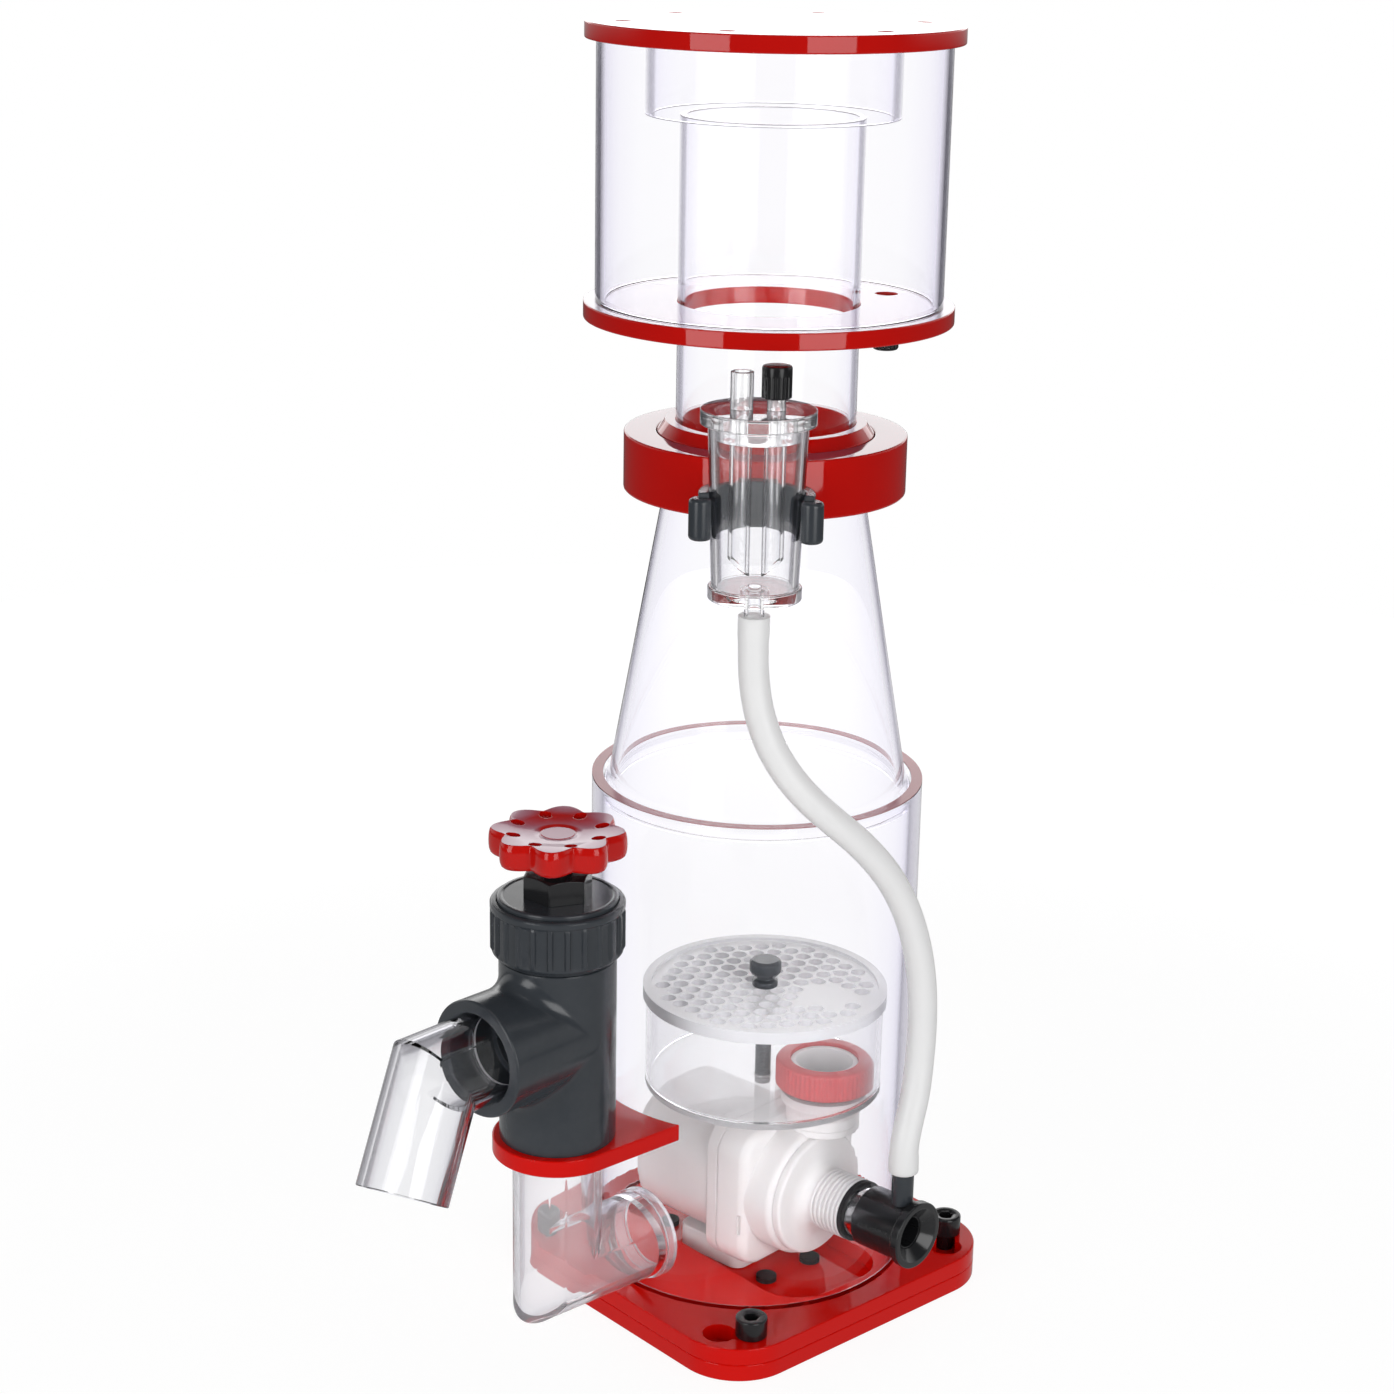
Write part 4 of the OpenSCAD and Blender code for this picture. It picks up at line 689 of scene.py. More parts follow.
# two pipes bonded at a mitre: legs are (direction, length) away from the corner
def bentPipe(outer, inner, legs, edge=0.4, count=128):
    (first, firstLong), (second, secondLong) = [(Vector(way).normalized(), long) for way, long in legs]
    side = first.cross(second).normalized()
    middle = (first + second).normalized()
    spread = 1 / math.sin(first.angle(second) / 2)
    firstUp = (second - first * first.dot(second)).normalized()
    secondUp = (first - second * first.dot(second)).normalized()
    rows = [
        (inner, firstUp, 1, first * firstLong), (outer - edge, firstUp, 1, first * firstLong),
        (outer, firstUp, 1, first * (firstLong - edge)), (outer, middle, spread, Vector((0, 0, 0))),
        (outer, secondUp, 1, second * (secondLong - edge)), (outer - edge, secondUp, 1, second * secondLong),
        (inner, secondUp, 1, second * secondLong), (inner, middle, spread, Vector((0, 0, 0))),
    ]
    points, faces = [], []
    for radius, up, stretch, away in rows:
        for k in range(count):
            a = 2 * math.pi * k / count
            points.append(tuple(side * radius * math.cos(a) + up * radius * stretch * math.sin(a) + away))
    for i in range(len(rows)):
        for k in range(count):
            n = (k + 1) % count
            j = (i + 1) % len(rows)
            faces.append([i * count + k, i * count + n, j * count + n, j * count + k])
    return points, faces


# a pipe whose ends lean: each end's height changes with x and y
def mitredPipe(outer, inner, start, end, startLean, endLean, count=128):
    points, faces = turned([(outer, start), (outer, end), (inner, end), (inner, start)], count)
    leans = [startLean, endLean, endLean, startLean]
    out = []
    for i, (x, y, z) in enumerate(points):
        lean = leans[i // count]
        out.append((x, y, z + lean[0] * x + lean[1] * y))
    return out, faces


def roundedBox(length, width, radius, steps=16):
    out = []
    for cx, cy, start in ((1, 1, 0), (-1, 1, 90), (-1, -1, 180), (1, -1, 270)):
        for s in range(steps + 1):
            a = math.radians(start + 90 * s / steps)
            out.append((
                cx * (length / 2 - radius) + radius * math.cos(a),
                cy * (width / 2 - radius) + radius * math.sin(a),
            ))
    return out


def inset(outline, amount):
    out = []
    count = len(outline)
    for i in range(count):
        before = Vector(outline[i]) - Vector(outline[i - 1])
        after = Vector(outline[(i + 1) % count]) - Vector(outline[i])
        along = before.normalized() + after.normalized()
        along.normalize()
        out.append((outline[i][0] - along.y * amount, outline[i][1] + along.x * amount))
    return out


# skins flat outlines at their heights into a closed form
def loft(rows):
    points = [(x, y, z) for flat, z in rows for x, y in flat]
    count = len(rows[0][0])
    faces = [list(range(count))[::-1], [len(points) - count + k for k in range(count)]]
    for i in range(len(rows) - 1):
        for k in range(count):
            n = (k + 1) % count
            faces.append([i * count + k, i * count + n, (i + 1) * count + n, (i + 1) * count + k])
    return points, faces


# a flat outline made thick, with rounded edges
def slab(outline, low, high, edge=0.5, steps=3):
    rows = []
    for s in range(steps + 1):
        a = math.pi / 2 * s / steps
        rows.append((inset(outline, edge * (1 - math.sin(a))), low + edge * (1 - math.cos(a))))
    return loft(rows + [(flat, high + low - z) for flat, z in reversed(rows)])


# a sharp-edged form that cuts an outline out of a piece
def plug(outline, low, high):
    return slab(outline, low, high, 0.01, 1)


def circle(radius, count=48):
    angles = [2 * math.pi * k / count for k in range(count)]
    return [(radius * math.cos(a), radius * math.sin(a)) for a in angles]


def meshOf(name, parts):
    builder = bmesh.new()
    for (points, faces), place in parts:
        made = [builder.verts.new((place @ Vector(p)) * mm) for p in points]
        for face in faces:
            builder.faces.new([made[i] for i in face])
    bmesh.ops.recalc_face_normals(builder, faces=builder.faces)
    mesh = bpy.data.meshes.new(name)
    builder.to_mesh(mesh)
    builder.free()
    return mesh


# cuts the shapes out of a piece's mesh, or joins them to it
def carve(obj, cutters, operation="DIFFERENCE"):
    tools = []
    for shape, place in cutters:
        tool = bpy.data.objects.new("tool", meshOf("tool", [(shape, place)]))
        scene.collection.objects.link(tool)
        step = obj.modifiers.new("cut", "BOOLEAN")
        step.operation = operation
        step.solver = "EXACT"
        step.object = tool
        tools.append(tool)
    graph = bpy.context.evaluated_depsgraph_get()
    cutMesh = bpy.data.meshes.new_from_object(obj.evaluated_get(graph))
    obj.modifiers.clear()
    obj.data = cutMesh
    for tool in tools:
        bpy.data.objects.remove(tool)


def piece(name, parts, finish, *replaced, body=None, smooth=35, cutters=(), joined=()):
    slot, material = variants[finish] if finish in variants else (finish, finishes[finish])
    obj = bpy.data.objects.new(name, meshOf(name, parts))
    scene.collection.objects.link(obj)
    if joined:
        carve(obj, joined, "UNION")
    if cutters:
        carve(obj, cutters)
    obj.data.materials.clear()
    obj.data.materials.append(material)
    obj.data.shade_smooth()
    obj.data.set_sharp_from_angle(angle=math.radians(smooth))
    even = obj.modifiers.new("evenNormals", "WEIGHTED_NORMAL")
    even.keep_sharp = True
    if slot == "clear_acrylic":
        obj.visible_shadow = False
    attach(obj, body or cadNodes[replaced[0]]["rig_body"])
    if replaced:
        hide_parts(*replaced)
    return obj


# air hose
hoseSet = {
    "across": 13,
    "points": [
        (62.5, -62, 348), (62.5, -62, 334), (63, -61.5, 320), (65, -60, 306),
        (68.5, -56.5, 292), (73, -50.5, 279), (78, -42, 267), (82.5, -32, 256.5),
        (86, -21, 246), (88.5, -10, 234), (90, 0, 220.5), (90.5, 8.5, 205),
        (90.5, 15, 188), (90, 19.5, 170), (89.5, 21.5, 152), (89.5, 21, 134),
        (91, 17.5, 117), (92, 13, 104), (93, 9.8, 94), (93, 9.8, 82),
    ],
    "steps": 5, "held": 4, "topSwell": 1.04, "lowSwell": 1.05,
}


def smoothRoute(points, steps):
    out = []
    for i in range(len(points) - 1):
        a = Vector(points[max(i - 1, 0)])
        b = Vector(points[i])
        c = Vector(points[i + 1])
        d = Vector(points[min(i + 2, len(points) - 1)])
        for s in range(steps):
            t = s / steps
            out.append(0.5 * (2 * b + (c - a) * t + (2 * a - 5 * b + 4 * c - d) * t ** 2
                              + (3 * b - a - 3 * c + d) * t ** 3))
    return out + [Vector(points[-1])]


hoseRoute = [p * mm for p in smoothRoute(hoseSet["points"], hoseSet["steps"])]
hoseCurve = bpy.data.curves.new("airHose", "CURVE")
hoseCurve.dimensions = "3D"
hoseCurve.bevel_depth = hoseSet["across"] / 2 * mm
hoseCurve.bevel_resolution = 7
hoseCurve.use_fill_caps = True
hoseLine = hoseCurve.splines.new("POLY")
hoseLine.points.add(len(hoseRoute) - 1)
for point, place in zip(hoseLine.points, hoseRoute):
    point.co = (*place, 1)
for i in range(hoseSet["held"]):
    hoseLine.points[i].radius = hoseSet["topSwell"]
    hoseLine.points[-1 - i].radius = hoseSet["lowSwell"]
hoseLine.use_smooth = True
airHose = bpy.data.objects.new("airHose", hoseCurve)
scene.collection.objects.link(airHose)
hoseCurve.materials.append(finishes["white_silicone"])
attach(airHose, "skimmer")
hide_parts("air_hose")

# base plates
baseSet = {"width": 172, "corner": 29.5, "thick": 8, "edge": 0.6, "pocket": (132, 62, 20), "cut": (6, 18)}
deck = 2 * baseSet["thick"]
baseOutline = roundedBox(baseSet["width"], baseSet["width"], baseSet["corner"], 24)
piece("footPlate", [(slab(baseOutline, 0, baseSet["thick"], baseSet["edge"]), here)], "baseRed", "foot_plate")

screwSet = {
    "circle": 96, "head": 14.4, "high": 9.5, "slot": 8.8, "hole": 15.2, "twist": 8.5, "key": 7, "keyDeep": 5,
    "corners": (45, 135, 225, 315), "sideSteps": 8, "endSteps": 12,
}
halfTwist = math.radians(screwSet["twist"] / 2)
halfSlot = screwSet["slot"] / 2


# one long side of the slot, along an arc
def slotSide(radius, start):
    steps = screwSet["sideSteps"]
    angles = [start * (1 - 2 * k / steps) for k in range(steps + 1)]
    return [(radius * math.cos(a), radius * math.sin(a)) for a in angles]


slotOutline = slotSide(screwSet["circle"] + halfSlot, -halfTwist)
for k in range(1, screwSet["endSteps"]):
    a = halfTwist + math.pi * k / screwSet["endSteps"]
    x = screwSet["circle"] * math.cos(halfTwist) + halfSlot * math.cos(a)
    y = screwSet["circle"] * math.sin(halfTwist) + halfSlot * math.sin(a)
    slotOutline.append((x, y))
slotOutline += slotSide(screwSet["circle"] - halfSlot, halfTwist)
plateCuts = [(slab(roundedBox(*baseSet["pocket"]), *baseSet["cut"], 0.2), here)]
for corner in screwSet["corners"]:
    plateCuts.append((plug(slotOutline, *baseSet["cut"]), turn(corner)))
    holeAt = turn(corner - screwSet["twist"] / 2) @ move(screwSet["circle"], 0, 0)
    plateCuts.append((plug(circle(screwSet["hole"] / 2), *baseSet["cut"]), holeAt))
piece(
    "bodyPlate", [(slab(baseOutline, baseSet["thick"], deck, baseSet["edge"]), here)], "baseRed",
    "body_plate", cutters=plateCuts,
)


def hexRadius(across):
    def radius(angle):
        side = (angle % (math.pi / 3)) - math.pi / 6
        return across / 2 * math.cos(math.pi / 6) / math.cos(side)
    return radius


headTop = deck + screwSet["high"]
headRadius = screwSet["head"] / 2
screwLoop = softened(
    [(0, 2), (4, 2), (4, deck), (headRadius, deck), (headRadius, headTop), (5.2, headTop)], 0.9, 3,
    closed=False,
)
keyRadius = hexRadius(screwSet["key"])
screwLoop += [
    (4.2, headTop - 0.1), (keyRadius, headTop - 0.6), (keyRadius, headTop - screwSet["keyDeep"]),
    (0, headTop - screwSet["keyDeep"] - 1.5),
]
screwShape = turned(screwLoop, 96, closed=False)
piece(
    "lockScrews",
    [
        (screwShape, turn(corner + screwSet["twist"] / 2) @ move(screwSet["circle"], 0, 0) @ turn(11 * i))
        for i, corner in enumerate(screwSet["corners"])
    ],
    "screwBlack", "lock_screws",
)
print("base done")

# body, cone and collar
bodySet = {
    "wall": (75, 70, 16, 249.05), "edge": 0.5, "count": 192, "end": (75, 70, 249.1, 249.4),
    "inlet": 12.1, "outlet": 20.05, "outletHigh": 37.5, "through": (60, 90),
}
outletHoleAt = move(0, 0, bodySet["outletHigh"]) @ turn(90, "X")
piece(
    "bodyTube", [(ringTube(*bodySet["wall"], bodySet["edge"], bodySet["count"]), here)], "clearBody",
    "body_tube",
    cutters=[
        (plug(circle(bodySet["inlet"], 64), *bodySet["through"]), pumpAt),
        (plug(circle(bodySet["outlet"], 64), *bodySet["through"]), outletHoleAt),
    ],
)
# a thin ring on the body tube's top, coloured as a painted red reflection
piece(
    "bodyEnd", [(ringTube(*bodySet["end"], 0.1, bodySet["count"]), here)], "paintedRimReflection",
    body=cadNodes["body_tube"]["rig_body"],
)
coneSet = {
    "profile": [
        (69.95, 241.4, 0.4), (69.95, 245.4, 3), (67.35, 249.4, 6), (44, 381.6, 3), (44, 387.6, 0.3),
        (40, 387.6, 0.3), (40, 381.6, 3), (63.35, 249.4, 6), (65.95, 241.4, 0.4),
    ],
    "count": 192,
}
piece("cone", [(turned(softened(coneSet["profile"], 0.4, 5), coneSet["count"]), here)], "clearCone", "cone")
collarSet = {
    "profile": [
        (44.05, 381.6), (62, 381.6), (62, 407.2), (47.7, 407.2), (47.7, 389.6), (40, 389.6),
        (40, 387.6), (44.05, 387.6),
    ],
    "edge": 0.9,
}
collarShape = turned(softened(collarSet["profile"], collarSet["edge"]), 160)
piece("collar", [(collarShape, here)], "red_acrylic", "collar")

# collection cup
cupSet = {
    "ring": [
        (39.45, 389.6), (47.4, 389.6), (47.4, 407.2, 0.3), (44, 412, 0.4), (39.45, 412, 0.4),
    ],
    "neck": (39.4, 36.4, 389.6, 542.35), "neckEnd": (39.4, 36.4, 542.4, 542.7),
    "floor": (80, 39.45, 456.7, 464),
    "wall": (75, 71, 464, 573.7),
    "drainHole": 10.4, "drainCut": (450, 470),
}
piece("neckRing", [(turned(softened(cupSet["ring"], 0.5), 160), here)], "red_acrylic", "neck_ring")
piece("neckTube", [(ringTube(*cupSet["neck"], 0.1, 160), here)], "clearNeck", "neck_tube")
# a thin dark ring on the neck tube's top: painted shade
piece(
    "neckEnd", [(ringTube(*cupSet["neckEnd"], 0.1, 160), here)], "paintedRimShade",
    body=cadNodes["neck_tube"]["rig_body"],
)
piece(
    "cupFloor", [(ringTube(*cupSet["floor"], 0.6, 192), here)], "red_acrylic", "cup_floor",
    cutters=[(plug(circle(cupSet["drainHole"] / 2), *cupSet["drainCut"]), drainAt)],
)
piece("cupTube", [(ringTube(*cupSet["wall"], 0.5, 192), here)], "clear_acrylic", "cup_tube")

drainSet = {
    "fitting": [
        (3.2, 440.5), (4.6, 440.5), (4.6, 453), (8, 453), (8, 456.7), (5.15, 456.7), (5.15, 461), (3.2, 461),
    ],
    "cap": (5.8, 439.2, 452.2), "ribs": 18, "rib": 0.35,
}
drainShape = turned(softened(drainSet["fitting"], 0.3), 64)
piece("drainFitting", [(drainShape, drainAt)], "black_nylon", "drain_fitting")


# a radius with raised ribs: share is a rib's part of the pitch, ramp the part of each flank
def ribbed(radius, depth, count, share=0.5, ramp=0.2):
    def at(angle):
        away = abs((angle * count / (2 * math.pi) + 0.5) % 1 - 0.5)
        lift = (share / 2 - away) / ramp + 0.5
        return radius - depth * (1 - max(0, min(1, lift)))
    return at


capR, capLow, capHigh = drainSet["cap"]
capRib = ribbed(capR, drainSet["rib"], drainSet["ribs"])
drainLoop = [
    (0, capLow), (capR - 1.2, capLow), (capR - 0.5, capLow + 0.3), (capRib, capLow + 1.2),
    (capRib, capHigh - 0.6), (capR - 0.7, capHigh), (4.67, capHigh), (4.67, capLow + 1.3), (0, capLow + 1.3),
]
piece("drainCap", [(turned(drainLoop, 216, closed=False), drainAt)], "capBlack", "drain_cap")

lidSet = {
    "radius": 80, "low": 573.7, "high": 581, "vents": 6, "ventAt": 64.6,
    "vent": [(0, 570), (2.4, 570), (2.4, 579.7), (3.9, 581.2), (3.9, 585), (0, 585)],
    "skirt": (54.2, 51.2, 543.05, 573.7), "skirtEnd": (54.2, 51.2, 542.7, 543),
}
lidLow, lidHigh = lidSet["low"], lidSet["high"]
lidLoop = [(0, lidLow), (lidSet["radius"], lidLow), (lidSet["radius"], lidHigh), (0, lidHigh)]
ventPitch = 360 / lidSet["vents"]
piece(
    "lidPlate", [(spun(lidLoop, 0.7, 192), here)], "red_acrylic", "lid_plate",
    cutters=[
        (turned(lidSet["vent"], 32, closed=False), turn(ventPitch * k) @ move(lidSet["ventAt"], 0, 0))
        for k in range(lidSet["vents"])
    ],
)
piece("lidSkirt", [(ringTube(*lidSet["skirt"], 0.1, 192), here)], "clearNeck", "lid_skirt")
# a thin dark ring at the skirt's lower end: painted shade
piece(
    "skirtEnd", [(ringTube(*lidSet["skirtEnd"], 0.1, 192), here)], "paintedRimShade",
    body=cadNodes["lid_skirt"]["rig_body"],
)
print("body and cup done")

# outlet pipes
pipeSet = {
    "outer": 20, "inner": 17, "run": 54.5, "riser": 93.5, "level": 37.5, "ring": (21.2, 20.05, 0, 5),
    "ringAt": -66.41, "mitre": 72.6, "leg": 37.2, "rim": (19.9, 17.1, 1.2), "bend": 60, "swing": 10,
    "spout": 51, "weep": 2.3, "weepAt": 56.7, "weepCut": (10, 40),
}
bendShape = bentPipe(
    pipeSet["outer"], pipeSet["inner"], [((0, 1, 0), pipeSet["run"]), ((0, 0, 1), pipeSet["riser"])],
)
piece(
    "outletBend", [(bendShape, valveAt @ move(0, 0, pipeSet["level"]))], "clearBend", "outlet_pipe",
    "riser_pipe",
)
piece(
    "outletRing",
    [(ringTube(*pipeSet["ring"], 0.3), move(0, pipeSet["ringAt"], pipeSet["level"]) @ turn(-90, "X"))],
    "clearBend", "outlet_ring",
)
elbowAt = branchAt @ turn(pipeSet["swing"])
spoutWay = (math.sin(math.radians(pipeSet["bend"])), 0, math.cos(math.radians(pipeSet["bend"])))
elbowShape = bentPipe(
    pipeSet["outer"], pipeSet["inner"], [((0, 0, -1), pipeSet["leg"]), (spoutWay, pipeSet["spout"])],
)
weepAt = elbowAt @ move(0, 0, pipeSet["weepAt"]) @ turn(-90, "Y")
piece(
    "outletElbow", [(elbowShape, elbowAt @ move(0, 0, pipeSet["mitre"]))], "clearPipe", "elbow_leg",
    "elbow_spout", cutters=[(plug(circle(pipeSet["weep"], 24), *pipeSet["weepCut"]), weepAt)],
)
rimOuter, rimInner, rimThick = pipeSet["rim"]
rimLow = pipeSet["mitre"] - pipeSet["leg"] - rimThick - 0.05
piece(
    "elbowRim", [(ringTube(rimOuter, rimInner, rimLow, rimLow + rimThick, 0.1), elbowAt)], "frostedRim",
    body=cadNodes["elbow_leg"]["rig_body"],
)
print("outlet pipes done")

# bracket
bracketSet = {
    "half": 29, "body": 75.05, "hole": 20.05, "cut": (90, 110), "low": 97, "high": 105, "edge": 0.7,
    "steps": 40,
}
bracketArc = math.asin(bracketSet["half"] / bracketSet["body"])
bracketOutline = []
for k in range(bracketSet["steps"] + 1):
    a = bracketArc * (1 - 2 * k / bracketSet["steps"])
    bracketOutline.append((bracketSet["body"] * math.sin(a), -bracketSet["body"] * math.cos(a)))
for k in range(bracketSet["steps"] + 1):
    a = math.pi * (1 + k / bracketSet["steps"])
    x, y = bracketSet["half"] * math.cos(a), bracketSet["half"] * math.sin(a)
    bracketOutline.append((x, placeSet["valve"] + y))
piece(
    "bracket", [(slab(bracketOutline, bracketSet["low"], bracketSet["high"], bracketSet["edge"]), here)],
    "baseRed", "bracket",
    cutters=[(plug(circle(bracketSet["hole"], 96), *bracketSet["cut"]), valveAt)],
)

# valve tee, whose branch runs into the body through a rolled fillet
teeSet = {
    "body": [(0, 105), (25.8, 105), (25.8, 190.2), (24.1, 190.2), (24.1, 209), (0, 209)],
    "bore": [
        (0, 104), (20.75, 104), (20.75, 105), (20.05, 105.7), (20.05, 131), (17, 131), (17, 134), (20.6, 134),
        (20.6, 210), (0, 210),
    ],
    "branchBore": [(0, 0), (17, 0), (17, 22), (20.07, 22), (20.07, 47.9), (21, 48.7), (21, 52), (0, 52)],
    "radius": 25.77, "foot": 25.95, "mouth": 26.2, "reach": 48.7, "fillet": 8, "steps": 8, "rim": 1,
    "count": 144,
}


def filletedBranch(look):
    columns = []
    for k in range(look["count"]):
        a = 2 * math.pi * k / look["count"]
        c, s = math.cos(a), math.sin(a)
        column = [Vector((0.5 * look["foot"] * c, 0.5 * look["foot"] * s, 0))]
        grown = look["foot"] + look["fillet"]
        wide = look["radius"] + look["fillet"]
        room = wide ** 2 - (grown * s) ** 2
        centre = Vector((grown * c, grown * s, math.sqrt(max(room, 0))))
        onBody = Vector((0, -centre.y, -centre.z)).normalized()
        onBranch = Vector((-c, -s, 0))
        for i in range(look["steps"] + 1):
            t = i / look["steps"]
            if room > 0:
                column.append(centre + onBody.lerp(onBranch, t).normalized() * look["fillet"])
            else:
                column.append(Vector((look["foot"] * c, look["foot"] * s, 0.5 * (t - 1))))
        for i in range(4):
            a = math.pi / 2 * i / 3
            r = look["mouth"] - look["rim"] * (1 - math.cos(a))
            column.append(Vector((r * c, r * s, look["reach"] - look["rim"] * (1 - math.sin(a)))))
        columns.append(column)
    rows = len(columns[0])
    points = [tuple(columns[k][i]) for i in range(rows) for k in range(look["count"])]
    count = look["count"]
    faces = [list(range(count))[::-1], [len(points) - count + k for k in range(count)]]
    for i in range(rows - 1):
        for k in range(count):
            n = (k + 1) % count
            faces.append([i * count + k, i * count + n, (i + 1) * count + n, (i + 1) * count + k])
    return points, faces


piece(
    "teeBody", [(spun(teeSet["body"], 0.5, teeSet["count"]), valveAt)], "dark_pvc", "tee_body",
    joined=[(filletedBranch(teeSet), branchAt)],
    cutters=[
        (turned(teeSet["bore"], teeSet["count"], closed=False), valveAt),
        (turned(teeSet["branchBore"], teeSet["count"], closed=False), branchAt),
    ],
)

nutSet = {"ribs": 24, "root": 28.3, "rib": 1.2, "share": 0.3, "ramp": 0.08, "count": 720}
nutRib = ribbed(
    nutSet["root"] + nutSet["rib"], nutSet["rib"], nutSet["ribs"], nutSet["share"], nutSet["ramp"],
)
nutLoop = softened(
    [
        (26.7, 216.5), (26.7, 212.57), (27.9, 212.57), (27.9, 208.7), (24.17, 208.7), (24.17, 190.5),
        (25.7, 190.5, 0.6), (28.7, 193.5, 1.5), (28.7, 194.2),
    ],
    0.3, 3, closed=False,
)
nutLoop += [
    (nutRib, 195.6), (nutRib, 211.6), (28.9, 212.9), (29.4, 213.4), (29.4, 215.6), (28.9, 216.3),
    (27.9, 216.5),
]
piece("unionNut", [(turned(nutLoop, nutSet["count"]), valveAt)], "dark_pvc", "union_nut", smooth=30)

bonnetSet = {
    "loop": [
        (5.07, 199), (20.53, 199), (20.53, 202.8), (18.13, 202.8), (18.13, 205.2), (20.53, 205.2),
        (20.53, 209), (27.6, 209), (27.6, 212.5), (26.4, 212.5), (26.4, 218.5, 0.9), (24.4, 218.5, 0.4),
        (23.8, 218.1, 0.4), (5.07, 218.1),
    ],
    "gland": 31, "glandTurn": 8, "corner": 15.36, "flat": 13.5, "low": 218.1, "high": 229, "bore": 6.47,
    "stem": [
        (0, 140), (5, 140), (5, 195.3), (7, 195.3), (7, 198.7), (5, 198.7), (5, 218.8), (6.4, 218.8),
        (6.4, 245.4), (0, 245.4),
    ],
}
piece("bonnet", [(turned(softened(bonnetSet["loop"], 0.3), 128), valveAt)], "dark_pvc", "bonnet")
glandHex = hexRadius(bonnetSet["gland"])


def glandRadius(angle):
    return min(glandHex(angle), bonnetSet["corner"])


def glandShoulder(angle):
    return bonnetSet["high"] - max(0.25, (glandRadius(angle) - bonnetSet["flat"]) / 2 + 0.25)


def glandTop(angle):
    return min(glandRadius(angle) - 0.4, bonnetSet["flat"] - 0.4)


glandBore, glandLow, glandHigh = bonnetSet["bore"], bonnetSet["low"], bonnetSet["high"]
glandLoop = [
    (glandBore, glandLow), (glandRadius, glandLow), (glandRadius, glandShoulder),
    (glandTop, glandHigh), (glandBore + 0.4, glandHigh), (glandBore, glandHigh - 0.4),
]
glandAt = valveAt @ turn(bonnetSet["glandTurn"])
piece("glandNut", [(turned(glandLoop, 360), glandAt)], "venturiBlack", "gland_nut", smooth=40)
piece("valveStem", [(spun(bonnetSet["stem"], 0.3, 64, 2), valveAt)], "venturiBlack", "valve_stem")

# handwheel
wheelSet = {
    "lobes": 8, "tip": 30, "notch": 24.5, "shape": 0.7, "low": 236.4, "high": 248.4, "stem": 245.4,
    "web": 242.9, "dimple": (6.2, 5.4, 2.6), "dimpleAt": 19.8, "dimpleDeep": 3, "count": 480,
    "side": [
        (3.2, 0), (1.7, 0.3), (0.8, 1.1), (0.25, 2.6), (0.05, 4.4), (0, 6), (0.1, 8.4), (0.3, 10),
        (0.65, 11.2), (1.2, 12),
    ],
    "dish": [
        (22.4, 0.2), (19, 0.75), (15, 1.4), (11, 1.8), (8, 1.95), (7.8, 2.1), (7.4, 2.1), (7.2, 1.95), (0, 2),
    ],
}


def wheelEdge(shrink):
    def at(angle):
        wave = (0.5 + 0.5 * math.cos(wheelSet["lobes"] * angle)) ** wheelSet["shape"]
        return wheelSet["notch"] + (wheelSet["tip"] - wheelSet["notch"]) * wave - shrink
    return at


wheelLow, wheelHigh = wheelSet["low"], wheelSet["high"]
wheelLoop = [
    (0, wheelSet["stem"]), (6.45, wheelSet["stem"]), (6.45, wheelLow + 0.4), (6.85, wheelLow),
    (8.6, wheelLow), (9, wheelLow + 0.4), (9, wheelSet["web"]), (17, wheelSet["web"]),
    (17, wheelLow + 0.5), (17.5, wheelLow),
]
wheelLoop += [(wheelEdge(shrink), wheelLow + rise) for shrink, rise in wheelSet["side"]]
wheelLoop += [(radius, wheelHigh - drop) for radius, drop in wheelSet["dish"]]
dimpleShape = slab(
    roundedBox(*wheelSet["dimple"], 6), wheelHigh - wheelSet["dimpleDeep"], wheelHigh + 4, 0.6, 3,
)
lobePitch = 360 / wheelSet["lobes"]
piece(
    "handwheel", [(turned(wheelLoop, wheelSet["count"], closed=False), valveAt)], "wheelRed", "handwheel",
    cutters=[
        (dimpleShape, valveAt @ turn(lobePitch * (k + 0.5)) @ move(wheelSet["dimpleAt"], 0, 0))
        for k in range(wheelSet["lobes"])
    ],
)
print("valve done")

# pump
motorSet = {
    "box": (63, 63, 24, 16), "bore": (57, 57, 22, 12), "boreCut": (-39, 8), "gland": 3, "glandAt": -12,
    "glandCut": (-52, -38), "back": 9, "rear": -48, "front": 3, "lip": 0.6, "steps": 7,
}
motorOutline = roundedBox(*motorSet["box"])
motorRows = []
for s in range(motorSet["steps"] + 1):
    a = math.pi / 2 * s / motorSet["steps"]
    shrink = motorSet["back"] * (1 - math.sin(a))
    motorRows.append((inset(motorOutline, shrink), motorSet["rear"] + motorSet["back"] * (1 - math.cos(a))))
motorRows += [
    (motorOutline, motorSet["front"] - motorSet["lip"]),
    (inset(motorOutline, motorSet["lip"]), motorSet["front"]),
]
piece(
    "motorHousing", [(loft(motorRows), pumpAt)], "white_plastic", "motor_housing",
    cutters=[
        (plug(roundedBox(*motorSet["bore"]), *motorSet["boreCut"]), pumpAt),
        (plug(circle(motorSet["gland"], 24), *motorSet["glandCut"]), pumpAt @ move(motorSet["glandAt"], 0, 0)),
    ],
)
